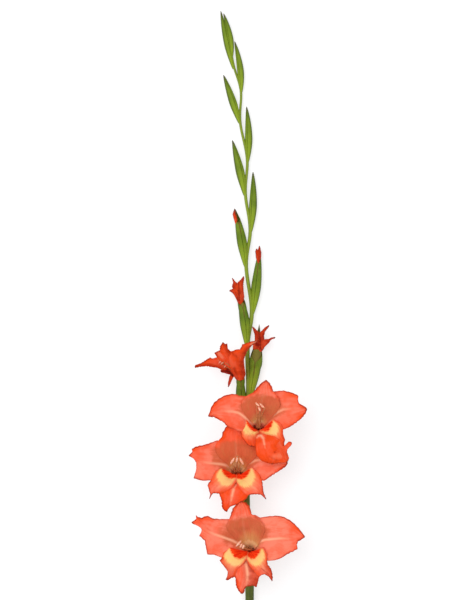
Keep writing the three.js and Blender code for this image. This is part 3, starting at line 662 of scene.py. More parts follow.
addPetal(
    "lowerLeft", rich=(1, 2), crimson=(0.1, 0.06), ends=0.26,
    red=[(-20, -3.9), (-18.8, 0.6), (-17.4, 3.7), (-14.6, 7.5), (-11, 9.1), (-7, 7.9), (-2.2, 4.9),
         (-1.8, 1.1), (-9.6, -4.9)],
    yellow=[(-18.6, -3.9), (-22.6, 0.1), (-24.8, 3.5), (-25.6, 6.7), (-23.6, 10.7), (-19.8, 14.3),
            (-15, 16.7), (-10.2, 15.5), (-7, 12.7), (-4.6, 9.1), (-3, 5.1), (-3.6, -0.9)],
    rib=[(-0.5, 1.2), (-3.2, 3.1), (-10, 6.1), (-16.6, 12.1), (-19.3, 18.1), (-20.3, 24.1), (-23.6, 29.7)],
    a=[(-0.1, 1.3), (-1.8, 4.5), (-2.8, 9.5), (-6.6, 14.1), (-10.6, 17.6), (-13.4, 21.6), (-15, 27.1),
       (-18.2, 28.1), (-21.5, 30.5), (-23.5, 30.1)],
    b=[(-1.2, 0.7), (-5, 0.9), (-10.6, -0.1), (-20, -2.5), (-26, 2.6), (-27.6, 7.6), (-29.9, 11),
       (-25.6, 16.4), (-21.7, 21.4), (-22.3, 26.4), (-24, 29.6)])
addPetal(
    "lowerRight", rich=(1, 2), crimson=(0.06, 0.12), ends=0.22,
    folds=[(11.9, 18.7, 19.4, 24.5, 0.9, 0.5, 0.55), (0.4, 21.1, 6.4, 19.7, 1.2, 0.4, 0.25)],
    red=[(11.4, -3.9), (10.8, 0.1), (9.8, 2.7), (7.4, 5.7), (5, 8.3), (1.8, 9.1), (-1.2, 6.7), (-3.4, 4.5),
         (-3.4, 0.1), (4.4, -4.9)],
    yellow=[(10.4, -3.9), (13.6, 0.1), (15, 3.5), (15.2, 7.5), (13.2, 11.5), (10.6, 14.7), (6.6, 16.3),
            (2.6, 15.1), (-1.2, 11.5), (-3.4, 7.5), (-2.6, -0.9)],
    rib=[(0.5, 1.2), (1.4, 3.7), (5, 7.1), (9.9, 12.1), (14.4, 18.1), (18.9, 23.6), (22.6, 31.3)],
    a=[(0, 1.4), (-2.2, 4.7), (-3.2, 9.6), (-0.6, 15.6), (3.4, 20.1), (6.9, 24.6), (9.6, 27.2), (11.7, 25.1),
       (15, 24.3), (19.1, 26.8), (22.4, 31.4)],
    b=[(1.3, 0.7), (3.6, 1.1), (7.4, 0.1), (14.2, -2.7), (17.4, 4.1), (17.5, 11.4), (18.3, 14.8),
       (21.2, 18.1), (22.5, 22.2), (23, 28), (22.8, 31.2)])
addPetal(
    # its crimson on side b is painted shade, where the stem lies under it
    "lowerMiddle", rich=(0.9, 1.5), stripe=0.4, crimson=(0, 0.52),
    pales=[(-3.8, 14.5, -2.8, 19.1, 1.5, 0.85), (-2.8, 19.1, -2, 25.1, 1.5, 0.8),
           (-2, 25.1, -2.4, 30.1, 1.3, 0.5), (-2.4, 30.1, -3.2, 35.1, 1, 0.25)],
    rib=[(-2.6, 6.1), (-3.6, 13.1), (-2.8, 21.1), (-3, 28.1), (-5.1, 36.1), (-7.9, 43.7)],
    a=[(-6.6, 6.1), (-13.6, 16.1), (-16.1, 23.1), (-14.4, 28.1), (-13.4, 36.1), (-11.5, 40.5), (-8.4, 44.2)],
    b=[(0.4, 6.1), (7.4, 14.1), (11, 21.1), (9.6, 27.2), (7.8, 34.1), (6.7, 37.6), (4.2, 35.5), (-0.1, 36.3),
       (-3.7, 36.5), (-4.9, 39.6), (-5.7, 42.9), (-7.6, 44.2)])
addFlower(
    "bloom_2", throat=(237, 472.2), height=24, floret=1, disc=(-1, -15.2, 28, 18.5), olive=20,
    pits=[(-1.8, 1.2, 1.2), (3.8, 1, 1.2)],
    anthers=[((-6.8, -8), (-2.6, -14.4)), ((-0.8, -9.8), (0.6, -15.6)), ((2.6, -14.6), (6.4, -7.6))])
addPetal(
    "right", rich=(0.4, 1.7), stripe=0.6, wave=1, waves=1.4,
    rib=[(2.4, -1.2), (10, -8.2), (18, -11.7), (28, -12.7), (39, -11.2), (50.6, -8.7)],
    a=[(1.6, -7.2), (9, -22.2), (19, -26.7), (31, -26.2), (42, -22.2), (48, -16.2), (50.8, -9.2)],
    b=[(3.4, 2), (16, 6.3), (27.2, 8.7), (33.3, 4.4), (40.9, -0.2), (46.3, -4), (49.2, -6.2), (50.4, -8.2)])
addPetal(
    "left", rich=(0.35, 1.8), stripe=0.7, wave=1.4, phase=0.4,
    rib=[(-2, -1.2), (-11, -7), (-16.4, -8.2), (-28, -9.2), (-37.5, -11.2), (-48.1, -16.6)],
    a=[(-1, -9.2), (-9, -26.2), (-19.5, -32.1), (-26.4, -29.6), (-34, -27), (-40.2, -25.8), (-45.3, -23.5),
       (-44.4, -20.8), (-48.3, -16.9)],
    b=[(-2.2, 2.2), (-13, 5.8), (-24.1, 8), (-34, 8.6), (-38.6, 7.5), (-43.4, 5.9), (-40.8, -2.5),
       (-40.6, -9.4), (-43.2, -13.6), (-48, -16.2)])
addPetal(
    "hood", rich=(1.4, 1.7), tall=92,
    rib=[(0.6, 2.4), (-0.4, -11.2), (-1, -22.2), (-1.5, -32.2), (-2, -42.2), (-2, -52.2)],
    a=[(-2, 2.2), (-10.6, -9.2), (-17.5, -14.2), (-21.3, -20.2), (-21.7, -27.2), (-18.4, -32.2),
       (-15, -35.4), (-14.6, -39.2), (-11, -45.2), (-7, -50.2), (-2.4, -52.6)],
    b=[(3.4, 2.2), (10.6, -6.8), (15.5, -11.2), (19.6, -15.7), (19.4, -22.2), (16, -29.2), (12, -36.2),
       (9, -44.2), (4, -50.2), (-1.6, -52.6)])
addPetal(
    "lowerLeft", rich=(1, 1.9), ends=0.12,
    red=[(-15.2, -4.2), (-14.4, -0.2), (-11.8, 3.2), (-9, 5.3), (-5.6, 6), (-0.4, 5.2), (-1, -0.2),
         (-9, -5.2)],
    yellow=[(-15.6, -4.6), (-19, -0.8), (-20.6, 3.8), (-18.4, 9), (-15.2, 12.7), (-10, 14), (-5.8, 12.7),
            (-3.4, 9), (-1.2, 5.3), (-7, -2.2)],
    rib=[(-0.5, 1.2), (-3.2, 4.6), (-10, 8.3), (-17, 13.6), (-22.5, 18.1), (-26, 22.3), (-27.5, 26.5)],
    a=[(-0.1, 1.3), (-0.2, 5.8), (-1.2, 10.8), (-5, 15.8), (-12, 19.8), (-18, 21.4), (-23.3, 20.9),
       (-25, 22.2), (-27.3, 26.7)],
    b=[(-1.2, 0.7), (-4, 2), (-8.4, -0.8), (-15.5, -4), (-21.5, -1.2), (-24.5, 5.3), (-29.7, 12.6),
       (-27.9, 18.2), (-26.6, 22), (-27.7, 26.4)])
addPetal(
    "lowerRight", rich=(1, 1.9), ends=0.12,
    red=[(13.4, -5.2), (12.6, -0.5), (10, 3.7), (6.8, 5.9), (3.6, 7), (-0.6, 5.8), (0, -0.2), (7, -5.2)],
    yellow=[(13.8, -5.6), (17, -1), (17.9, 3.7), (17.3, 7.9), (15.2, 12.1), (11, 14.8), (6.8, 15.3),
            (2.6, 13.2), (0, 9.5), (-1, 5.4), (6, -2.2)],
    rib=[(0.5, 1.2), (3, 4.6), (9, 8.8), (15, 14.4), (21.5, 19), (25.5, 22.8), (29, 26.9)],
    a=[(0.1, 1.3), (-0.6, 6), (-0.6, 10.8), (3, 16.8), (7, 21.4), (10.3, 23.4), (14.2, 22.4), (19.5, 22),
       (24.1, 22.5), (26.8, 25.2), (28.9, 27.2)],
    b=[(1.2, 0.7), (4, 2), (8.4, -0.8), (15, -4.8), (21.5, 0.8), (25.2, 8.2), (25.9, 13.6), (26.4, 19.7),
       (27.4, 22.8), (29.3, 26.9)])
addPetal(
    "lowerMiddle", rich=(1.6, 1.9), stripe=0.3,
    pales=[(-0.8, 12.4, -3.5, 17.3, 0.9, 0.45), (-3.5, 17.3, -5.2, 23.8, 1.5, 0.8),
           (-5.2, 23.8, -6, 28.3, 1.3, 0.55), (-6, 28.3, -6.8, 32.3, 0.9, 0.25)],
    rib=[(-1, 5.8), (-2.4, 12.4), (-4.6, 19.8), (-5.8, 26.8), (-8, 33.8), (-10.2, 39.4)],
    a=[(-5, 5.8), (-14, 13.8), (-19, 19.3), (-17.2, 23.8), (-15.3, 28.9), (-14.9, 35.8), (-12.6, 38.6),
       (-10.6, 39.7)],
    b=[(3, 5.8), (10, 13.8), (12.5, 19.8), (10, 25.8), (4, 31), (-1.9, 32.8), (-6.5, 34.3), (-8.8, 36.8),
       (-9.9, 39.7)])
addFlower(
    "bloom_3", throat=(258.5, 428.5), height=37, floret=2, disc=(3, -19.5, 26, 16.5), olive=19,
    pits=[(0.2, -1.1, 1.3), (-4.3, -2.9, 0.7)],
    anthers=[((-2.9, -25.9), (0.7, -22.3)), ((1.1, -25.3), (5.9, -20.1)), ((-0.1, -21.9), (1.9, -17.3))])
addPetal(
    "right", rich=(0.8, 1.8), stripe=0.7,
    rib=[(1.9, -1.9), (9.7, -10.2), (17.1, -15.3), (24.5, -19.1), (36.5, -20.5), (48.4, -19)],
    a=[(1.1, -7.5), (7.5, -30.5), (14.9, -37.1), (19.3, -37.5), (24.4, -38.2), (29.5, -37.1), (35.4, -35.2),
       (39.9, -32.6), (39.4, -28.6), (40.5, -25.1), (44.2, -23.3), (47.5, -21.3), (48.6, -19.3)],
    b=[(3.1, 0.5), (14.5, 3), (25.9, 0.8), (31, -1.4), (36.9, -5.1), (42.7, -9.5), (47.1, -15.3),
       (48.5, -18.6)])
addPetal(
    "left", rich=(0.7, 1.8), wave=1.2, waves=1.5, phase=0.9,
    rib=[(-2.1, -1.5), (-10.8, -8), (-14.5, -11.7), (-19.6, -15.6), (-27, -17.2), (-34.5, -17.5),
         (-43.8, -15.9), (-50.2, -12.5)],
    a=[(-0.9, -7.5), (-3.5, -26.5), (-8.5, -33.5), (-13, -32.3), (-19.6, -33), (-23.3, -34.7),
       (-29.2, -34.4), (-34.3, -32.9), (-40.2, -29.3), (-44.6, -25.6), (-47.5, -21.2), (-48.7, -16.8),
       (-50.4, -12.7)],
    b=[(-2.5, 1.1), (-12.5, 3.5), (-20.5, 2.5), (-29.2, -0.5), (-32.8, -3.6), (-35, -6.2), (-39.4, -8.4),
       (-44.6, -11.5), (-49, -11.6), (-50.3, -12.2)])
addPetal(
    "hood", rich=(0.6, 1.2), tall=72,
    rib=[(0.3, 0.3), (0.9, -11.5), (2.1, -20.5), (3.8, -30.5), (6, -40.5), (7.6, -48.5)],
    a=[(-2.1, -0.1), (-9.7, -9.5), (-15.9, -17.5), (-17.7, -23.5), (-16.5, -29), (-11, -33.2), (-5.1, -36.3),
       (-0.9, -41.7), (3.1, -45.9), (7.3, -48.6)],
    b=[(2.9, -0.1), (11.3, -9.1), (18.5, -16.5), (21.9, -23.3), (19.9, -30.5), (16.9, -34.7), (14.8, -37.5),
       (13.4, -41.8), (10.5, -46.2), (7.9, -48.6)])
addPetal(
    "lowerLeft", rich=(1.3, 1.9), tall=100, stripe=0.2, wave=0.6, waves=1.2, crimson=(0.1, 0.04),
    red=[(-12.5, -9.5), (-11.5, -4.5), (-9.3, -0.9), (-6.5, 1.5), (-3.3, 2.9), (0.5, 2.3), (-0.5, -3.5),
         (-6.5, -10.5)],
    yellow=[(-11.1, -9.5), (-14.5, -5.1), (-15.6, -1.5), (-15.6, 1.9), (-14.1, 4.9), (-11.3, 6.5),
            (-7.1, 6.5), (-3.5, 5.7), (-0.5, 3.9), (0.9, 1.5), (-6.5, -8.5)],
    rib=[(-0.5, 1.2), (-2.9, 3.5), (-7.5, 6.1), (-9.5, 9.5), (-9.1, 14.5), (-7.1, 18.1)],
    a=[(-0.1, 1.3), (0.3, 5.5), (0.3, 9.5), (0.3, 15.5), (-2.5, 18.1), (-6.5, 18.5)],
    b=[(-1.2, 0.7), (-4.1, 0.3), (-7.5, -2.9), (-12.1, -9.1), (-17.3, -5.5), (-18.3, 1.5), (-17.5, 7.5),
       (-14.5, 12.1), (-11.1, 15.9), (-7.7, 18.3)])
addPetal(
    "lowerRight", rich=(1.5, 1.5), tall=104, stripe=0.15, wave=1.8, waves=3.2, crimson=(0.1, 0.12),
    red=[(14.5, -10.5), (13.9, -4.7), (11.9, -0.5), (9.9, 1.9), (6.6, 2.7), (1.9, 1.9), (2.5, -3.5),
         (9.5, -10.5)],
    yellow=[(13.5, -10.5), (18.5, -4.9), (20, -0.9), (19.7, 3.3), (18.3, 6.3), (14.5, 6.9), (10.5, 6.1),
            (6.3, 4.7), (2.1, 2.1), (8.5, -8.5)],
    rib=[(0.5, 1.2), (3.5, 2.7), (8.5, 5), (14.5, 8.5), (20.5, 13.5), (24.5, 20), (27, 26.5), (29.1, 32.9)],
    a=[(0.1, 1.3), (0.5, 5.5), (2.5, 8.5), (7.5, 14.5), (12.5, 20.5), (16, 27.5), (21, 33.9), (25.9, 34.1),
       (28.8, 33.2)],
    b=[(1.2, 0.7), (4.1, 0.3), (8.9, -3.7), (15.1, -9.3), (22.5, -5.3), (24.7, -0.5), (24.5, 5.5),
       (26.6, 11.1), (25.5, 15.1), (26.3, 19.3), (27.5, 18.9), (28.7, 17.5), (28.9, 14.5), (30.3, 12.7),
       (32.7, 12.9), (33.7, 14.9), (32.5, 17.1), (30.3, 18.1), (28.9, 20.1), (28.3, 23.9), (30.6, 29.9),
       (29.4, 32.9)])
addPetal(
    "lowerMiddle", rich=(1.9, 2), tall=120, layer=4, early=0.06, whorl=3.4, wave=0.5, cup=-3.2,
    crimson=(0.04, 0.06), line=0.35,
    folds=[(26.5, 18.1, 16.1, 23.9, 1.3, 1.1, 0.5), (18.1, 31.9, 11, 28, 1.4, 0.8, 0.3),
           (27.5, 31.1, 20.5, 32.3, 1, 0.5, 0.25), (22.5, 11.5, 17.5, 18.5, 1.6, 0.5, 0.15)],
    pales=[(-1.5, 9.1, 0.1, 7.3, 1.1, 0.5), (0.1, 7.3, 2.5, 6.9, 1.4, 0.75), (2.5, 6.9, 4.7, 9.9, 1.4, 0.8),
           (4.7, 9.9, 5.9, 15.9, 1.1, 0.6), (5.9, 15.9, 6.5, 19.5, 0.9, 0.25),
           # these two are a painted highlight on the lit lobe below the crease
           (15.5, 28.1, 20.5, 27.3, 2.6, 0.16), (20.5, 27.3, 26.5, 27.1, 3.2, 0.22)],
    rib=[(0.9, 4.9), (2.5, 7.5), (4.5, 11.5), (6.3, 18.5), (8.9, 26.5), (14, 35.5)],
    a=[(-1.9, 5.1), (-2.6, 9.5), (-2.9, 19.9), (-2, 27.2), (2.4, 31.9), (9, 34.7), (13.7, 35.8)],
    b=[(2.5, 4.9), (9.5, 6.3), (16.5, 8.1), (22.1, 12.1), (25.9, 17.9), (28.7, 20.9), (28.5, 24.1),
       (30.5, 29.1), (28.9, 32.7), (24.9, 34.1), (19.5, 34.7), (14.3, 35.8)])
addFlower(
    "bloom_4", throat=(235, 371.5), height=13, floret=3, facing=(-0.42, 0.14, 0.9), scale=0.6,
    # its petals' crimson is painted shade modelling their curves; its folds paint the shadow in its mouth
    folds=[(-14.6, 0.1, -9, -0.1, 1.6, 0.2, 1.35), (-9, -0.3, -5.4, 0.5, 1.8, 0.2, 1.6),
           (-5.6, -0.1, -2.4, 3.9, 1.7, 0.2, 1.9), (-8.4, -4.9, -7.6, -1.9, 0.9, 0.2, 1.35),
           (-12, -9.1, -11, -7.3, 1.3, 0.2, 0.8), (-1.6, 4.9, 2.4, 8.5, 0.7, 0, 0.6)],
    anthers=[((-16.6, -7.9), (-13.8, -10.7)), ((-14.2, -6.9), (-11.6, -9.7)), ((-11, -3.9), (-9, -6.3))])
addPetal(
    "lower", lift=[9, 30], crimson=(0.27, 0.17), rich=(1.8, 1.8),
    rib=[(0, -0.5), (-2.5, 3.5), (-4.4, 8.5), (-6.8, 15.5)],
    a=[(-3.4, 0), (-5.6, 5.1), (-6.7, 9.5), (-7.2, 15.3)],
    b=[(3, 2.5), (-1.4, 5.7), (-3.4, 9.1), (-4.3, 12.1), (-6.6, 15.6)])
addPetal(
    "lip", lift=[12, 24], crimson=(0.7, 1),
    # its crimson is painted shade on the lip's shaded inside
    rib=[(0, 0.5), (-7, -0.5), (-11, -0.2), (-14.4, -0.3)],
    a=[(-2, -4.5), (-8, -4.5), (-13, -2.9), (-14.6, -0.9)],
    b=[(0, 5.5), (-3.6, 3.5), (-9, 2.1), (-14, 0.7)])
addPetal(
    "left", lift=[14, 29], crimson=(0.04, 0.5), wave=0.8, rich=(1.7, 1.7),
    pales=[(-16, -12.5, -13.6, -9.1, 1.5, 0.4)],
    rib=[(-2, -4.5), (-13, -7.9), (-21, -8.3), (-30, -7.5), (-40.3, -5.1)],
    a=[(-3, -13.5), (-13, -14.9), (-19.2, -14), (-22.5, -12.9), (-25, -14.3), (-29.5, -11.2), (-33.3, -8.7),
       (-39.6, -6.5)],
    b=[(-2, 1.5), (-11, -0.5), (-17.9, -3.7), (-27.2, -5.1), (-35.9, -4.6), (-40, -3.5)])
addPetal(
    "barb", lift=[15, 31], crimson=(0.13, 0.06), wave=0.6, rich=(1.6, 1.6),
    pales=[(-16.4, -17.9, -13, -14.5, 1.6, 0.3)],
    rib=[(1, -4.5), (-7, -11), (-14.5, -15.5), (-20.3, -18.9)],
    a=[(-2, 0.5), (-11, -7.5), (-17, -12.5), (-20.6, -18.3)],
    b=[(4, -9.5), (-6, -17.5), (-13, -21.9), (-15.2, -21.3), (-19.8, -19.1)])
addPetal(
    "upper", lift=[16, 36], crimson=(0.04, 0.45), wave=0.5, rich=(1.8, 1.8),
    folds=[(-10.6, -24.5, -4, -11.5, 1, 0.6, 0.35)],
    rib=[(1, -4.5), (-5, -14.5), (-9.3, -22.5), (-11.9, -29.1)],
    a=[(-5, -4.5), (-13, -16.5), (-15.2, -21.9), (-14.8, -25.5), (-12.4, -29.3)],
    b=[(6, -9.5), (0, -18.9), (-4.5, -20.3), (-7, -22.7), (-7.7, -28.1), (-9.8, -27.3), (-11.5, -29)])
addPetal(
    "right", lift=[13, 48], crimson=(0.06, 0.5), curl=-3.5, wave=0.6,
    # its folds are painted shade, and its wide faint pale a painted highlight across its middle
    folds=[(2.4, 6.5, -0.6, -2.9, 2.6, 0.7, 0.5), (-2.4, -18.9, 1.8, -14.7, 2.9, 0.6, 0.5),
           (5.6, -13.5, 8, -0.5, 1.5, 0.7, 0.45), (1, -15.5, 2, -6.5, 1.2, 0.5, 0.3)],
    pales=[(16, -27.1, 22, -30.3, 0.9, 0.5), (-9, -19.5, -2, -5.5, 2.6, 0.12)],
    rib=[(5, 9.1), (3.6, 0.5), (2.6, -9.5), (6, -17.5), (12, -24.3), (22.5, -30.9)],
    a=[(1, 8.1), (-2.4, 3.1), (-5.6, -4.5), (-6.5, -13.5), (-4, -20.3), (-1, -21.2), (2, -22.4),
       (4.9, -22.1), (7.6, -27.1), (11, -28.2), (16.3, -30.2), (22.1, -31)],
    b=[(8.9, 8), (10.6, 2.5), (9.4, -5.5), (8.9, -11.5), (9.7, -14.7), (11.6, -19.3), (15, -23.7),
       (18.3, -27.3), (22.6, -30.5)])
addFlower(
    "bud_5", throat=(263, 339.4), height=9, floret=4, facing=(0.25, 0.7, 0.67), scale=0.6,
    folds=[(-3.6, -5.4, -2.4, 9.6, 1.6, 0.3, 1.2), (-8, 1.6, -6.4, 10.6, 1.2, 0.2, 1)])
addPetal(
    "left", lift=[9, 12], crimson=(0.75, 0.5), curl=-1,
    rib=[(-4.5, 9.6), (-6, 3.6), (-7.4, -3.4), (-10.7, -12.6)],
    a=[(-8.4, 9.4), (-10.3, 7), (-8.2, 0.6), (-8.5, -5.8), (-9.8, -9.4), (-11, -12.4)],
    b=[(-2, 8.6), (-3, 1.6), (-3.7, -5), (-4.4, -7.8), (-7, -10), (-10.2, -12.8)])
addPetal(
    "up", lift=[9.5, 12, 10], crimson=(0.5, 0.78), curl=-0.8,
    folds=[(-0.6, -6.4, -2.4, 6.6, 0.9, 0.4, 0.5)],
    rib=[(-2, 9.1), (-1.5, 1.6), (-0.4, -6.4), (6, -14)],
    a=[(-5, 8.6), (-4.5, 0.6), (-3.8, -7), (-0.9, -8.9), (2.5, -12.6), (5.7, -14.3)],
    b=[(1.4, 7.1), (1.6, 0.6), (1, -3.6), (2.1, -7.6), (4.8, -11.2), (6.4, -13.7)])
addPetal(
    "right", lift=[10, 14], crimson=(0.7, 0.6), curl=-0.6, dried=(1.6, 1),
    rib=[(-1.5, 9.1), (2.5, 3.2), (6, 0.4), (12.3, -2.1)],
    a=[(-3, 6.6), (-0.3, 1.6), (2.4, -0.4), (6, -0.6), (9.4, -2.2), (12.1, -2.6)],
    b=[(-0.6, 10), (2.5, 6.8), (6, 3.4), (7.3, 1.2), (9.6, -0.3), (12.5, -1.5)])
addPetal(
    "base", lift=[8.5, 12.4], crimson=(0.8, 0.75), curl=-2.6,
    folds=[(-4.6, 1.6, -4.4, 11.6, 0.9, 0.4, 0.5)],
    rib=[(-4.6, 12.6), (-4.5, 9.6), (-4.4, 5.6), (-4.6, -0.4)],
    a=[(-8, 12.2), (-10.2, 9.2), (-10.2, 7), (-6, 1)],
    b=[(-1.2, 12.2), (1, 9.2), (1.6, 6.8), (-2.6, 1)])
addFlower(
    "bud_6", throat=(234.6, 286.6), height=8, floret=5, facing=(-0.25, 0.85, 0.47), scale=0.6,
    folds=[(4, -2.6, 4.6, 13.4, 1.5, 0.3, 1.15), (0, 3.8, 3.4, 12.4, 1.3, 0.2, 1.05)])
addPetal(
    "left", lift=[8.5, 11, 8], crimson=(0.7, 0.45), curl=-1,
    folds=[(4, 0.4, 4.6, 15.4, 0.9, 0.4, 0.85)],
    rib=[(5.8, 17.4), (3.4, 9.4), (1, 1.4), (-2.4, -8.6)],
    a=[(3, 16), (1, 9.9), (-1.4, 3.4), (-2.7, 0.2), (-1.4, -3.8), (-2.7, -8.1)],
    b=[(6.8, 16.4), (6, 8.4), (4.4, 0.9), (2.6, -3.8), (0.2, -5.4), (-2, -8.6)])
addPetal(
    "right", lift=[8.5, 11, 10.8], crimson=(0.55, 0.7), curl=-1,
    folds=[(5.8, -2.6, 6.2, 14.4, 0.8, 0.4, 0.45)],
    rib=[(6.4, 17.4), (6.6, 8.4), (6.4, 0.4), (9, -10.3)],
    a=[(4.4, 16.4), (3, 8.4), (2, 0.4), (3, -4), (5.8, -6.6), (8.6, -10.4)],
    b=[(8.6, 14.8), (9.8, 10.4), (9, 4.4), (8.7, -0.6), (9.3, -5.6), (9.5, -10)])
addPetal(
    "middle", lift=[9, 13, 10.8], crimson=(0.8, 0.45), curl=-1.2,
    rib=[(5.6, 17.8), (2.4, 10.4), (-0.2, 6), (-5.2, 4.2)],
    a=[(3.2, 15.8), (0.4, 10), (-2.2, 6.1), (-5, 4.8)],
    b=[(7.8, 14.4), (6, 7), (1.8, 2.8), (-2.2, 2.5), (-5.2, 3.7)])
addFlower(
    "bud_7", throat=(258.6, 280), height=6, floret=6, facing=None)
addPetal(
    "near", lift=[6.2, 8.4, 6], crimson=(0.6, 0.65), curl=-2,
    rib=[(-0.2, -16), (0.6, -23), (1.2, -29), (0.8, -34.2)],
    a=[(-1, -17), (-1.6, -23), (-1, -29), (0.4, -34.2)],
    b=[(0.8, -17), (2.6, -23), (2.6, -28.8), (1.7, -32), (1.1, -34.1)])
addPetal(
    "far", lift=[6, 7.4, 5.6], crimson=(0.45, 0.1), curl=-2, rich=(1.8, 1.8),
    rib=[(-0.6, -16), (-1.4, -23), (-2, -28), (-2.2, -31.4)],
    a=[(-1.4, -17), (-2.8, -23), (-3.2, -28.6), (-2.4, -31.5)],
    b=[(0.4, -17), (0.8, -23), (0, -28), (-1.6, -31.1)])
addFlower(
    "bud_8", throat=(236.6, 240), height=6, floret=7, facing=None)
addPetal(
    "near", lift=[6.2, 8, 6.4], crimson=(0.15, 0.35), curl=-1.4, dried=(3.2, 1),
    rib=[(0, -14), (-1, -20.4), (-2, -26), (-2, -31.4)],
    a=[(-0.8, -14.6), (-2.7, -20.6), (-4, -25.4), (-3.2, -28.2), (-2.3, -31.3)],
    b=[(0.8, -14.6), (0.8, -20.4), (-0.7, -26), (-1.5, -31)])

petalShape = {"rows": 84, "columns": 61, "thick": 0.42, "thin": 0.2, "rounding": 0.011, "frill": 0.45,
              "groove": 0.5, "vein": 0.08, "veins": 7, "line": 0.85, "nibble": 0.3, "stripe": 2.1,
              "grooveWidth": 1.2, "frills": 7.5, "neighbour": (1.0, 1.8), "deepRim": 4.5,
              "tan": {"hood": 1.0, "left": 0.9, "right": 0.9}}
cupShape = {"shelfSlope": 0.5, "floor": 16.0, "rim": 74.0, "length": 30.0, "drop": {3.4: 3.1, 4.8: 4.1},
            "steps": 240, "dive": 1.1, "lipDive": 7, "lipMiddle": 2.4}


def cupHeight(petal, r, length):
    # height over the throat against distance from its middle: the sum of small steps whose slope
    # eases from the cup's floor to its rim and then on to the petal's own slope at its tip
    shape = cupShape
    s = np.linspace(0, max(length * 1.25, shape["length"] + 2), shape["steps"])
    past = np.clip((s - shape["length"]) / max(1.0, length - shape["length"]), 0, 1.3)
    slope = mix(shape["floor"], shape["rim"], smooth(s / shape["length"]))
    slope = np.radians(slope + (petal["tall"] - shape["rim"]) * past ** 1.4)[:-1]
    step = s[1]
    out = petal["whorl"] + np.concatenate([[0], np.cumsum(np.sin(slope) * step)])
    up = np.concatenate([[0], np.cumsum(np.cos(slope) * step)]) - shape["drop"][petal["whorl"]]
    out = np.maximum.accumulate(out) + np.arange(len(out)) * 1e-9
    dive = shape["dive"] * np.maximum(0, petal["whorl"] - r)
    level = petal["shelf"]
    if level:
        # a lip runs on over the throat as a gentle slope, and only dives at its middle
        dive = shape["lipDive"] * np.maximum(0, shape["lipMiddle"] - r)
        dive = dive + shape["shelfSlope"] * np.maximum(0, level - r)
        r = np.maximum(r, level)
    return np.interp(r, out, up) - dive


def nearLine(picture, line, width):
    # 1 on a straight line in the picture, and down to 0 by a bell curve of the distance from it
    start = np.array(line[:2])
    run = line[2:] - start
    share = np.clip((picture - start) @ run / (run @ run), 0, 1)
    return bell(np.linalg.norm(picture - start - share[..., None] * run, axis=-1) / width)


def inPlan(bloom, spots, z):
    # plain positions of spots that are measured from the bloom's throat
    spots = np.asarray(spots) + bloom["throat"]
    return toPlan(spots[..., 0], spots[..., 1], z)


def petalSurface(bloom, petal):
    # middle surface over a grid (row t along, column v across): straight from the rib to each edge in
    # plan; in height the flower's cup, or the petal's own heights, with a groove on the rib and edges
    # that wave and frill
    shape = petalShape
    rows = shape["rows"]
    t, s = np.meshgrid(np.linspace(0, 1, rows), np.linspace(-1, 1, shape["columns"]), indexing="ij")
    v = np.sign(s) * np.abs(s) ** 1.25
    out = np.abs(v)
    rib = evenLine(petal["rib"], rows, 0.05)[:, None]
    a, b = (evenLine(petal[edge], rows, shape["rounding"])[:, None] for edge in ("a", "b"))
    side = np.where(v[..., None] < 0, a, b)
    u = t + 0.31 * np.sign(v)
    nibble = shape["nibble"] * (np.sin(47 * u) * np.sin(31 * u + 1) + 0.5 * np.sin(103 * u))
    nibble = nibble * smooth((t - 0.35) / 0.3) * smooth((1 - t) / 0.1)
    side = side + unit(side - rib) * nibble[..., None]
    half = np.linalg.norm(side - rib, axis=-1)
    picture = rib + out[..., None] * (side - rib)
    phase = petal["phase"]
    size = np.clip(half.mean() / 10, 0.15, 1)
    if bloom["isOpen"]:
        length = np.linalg.norm(np.diff(rib[:, 0], axis=0), axis=1).sum() + 8
        bowls = [cupHeight(petal, np.linalg.norm(spots, axis=-1), length) for spots in (picture, rib)]
        z = bloom["height"] + mix(*bowls, smooth(t / 0.6)) + petal["layer"] * smooth(t / petal["early"])
    else:
        z = evenLine([[z] for z in petal["lift"]], rows, 0.08) + petal["curl"] * v ** 2
    wave = petal["wave"] * np.sin(2 * np.pi * petal["waves"] * t + phase + np.where(v > 0, 2.2, 0.0))
    wave = wave * out ** 1.5 * smooth((t - 0.3) / 0.4)
    if petal["shelf"]:
        wave = wave * np.where(v < 0, 0.25, 1.0)  # lips stay level where they meet
    frill = np.sin(2 * np.pi * (shape["frills"] * t + 0.5 * np.sin(5 * t + phase)) + 3 * v + phase)
    frill = shape["frill"] * out ** 4 * smooth((t - 0.25) / 0.3) * frill
    groove = shape["groove"] * bell(v * half / shape["grooveWidth"])
    groove = groove * smooth(t / 0.15) * (1 - smooth((t - 0.75) / 0.25))
    ribs = np.cos(2 * np.pi * (shape["veins"] * out ** 0.9 + 0.3 * np.sin(4 * t)))
    ribs = shape["vein"] * ribs * smooth(out / 0.15) * smooth(t / 0.2) * (1 - 0.6 * out)
    cup = np.where(v < 0, *np.broadcast_to(petal["cup"], 2)) * v ** 2 * smooth((t - 0.2) / 0.4)
    # creases: how deep the petal dips along each line, and the painted shade that darkens it there
    creaseShade = 0 * t
    for *line, width, depth, dark in petal["folds"] + bloom["folds"]:
        z = z - depth * nearLine(picture, line, width)
        creaseShade = np.maximum(creaseShade, dark * nearLine(picture, line, 0.8 * width))
    middle = inPlan(bloom, picture, z + wave + size * (frill - groove + ribs) + cup)
    return middle, picture, t, v, half, creaseShade


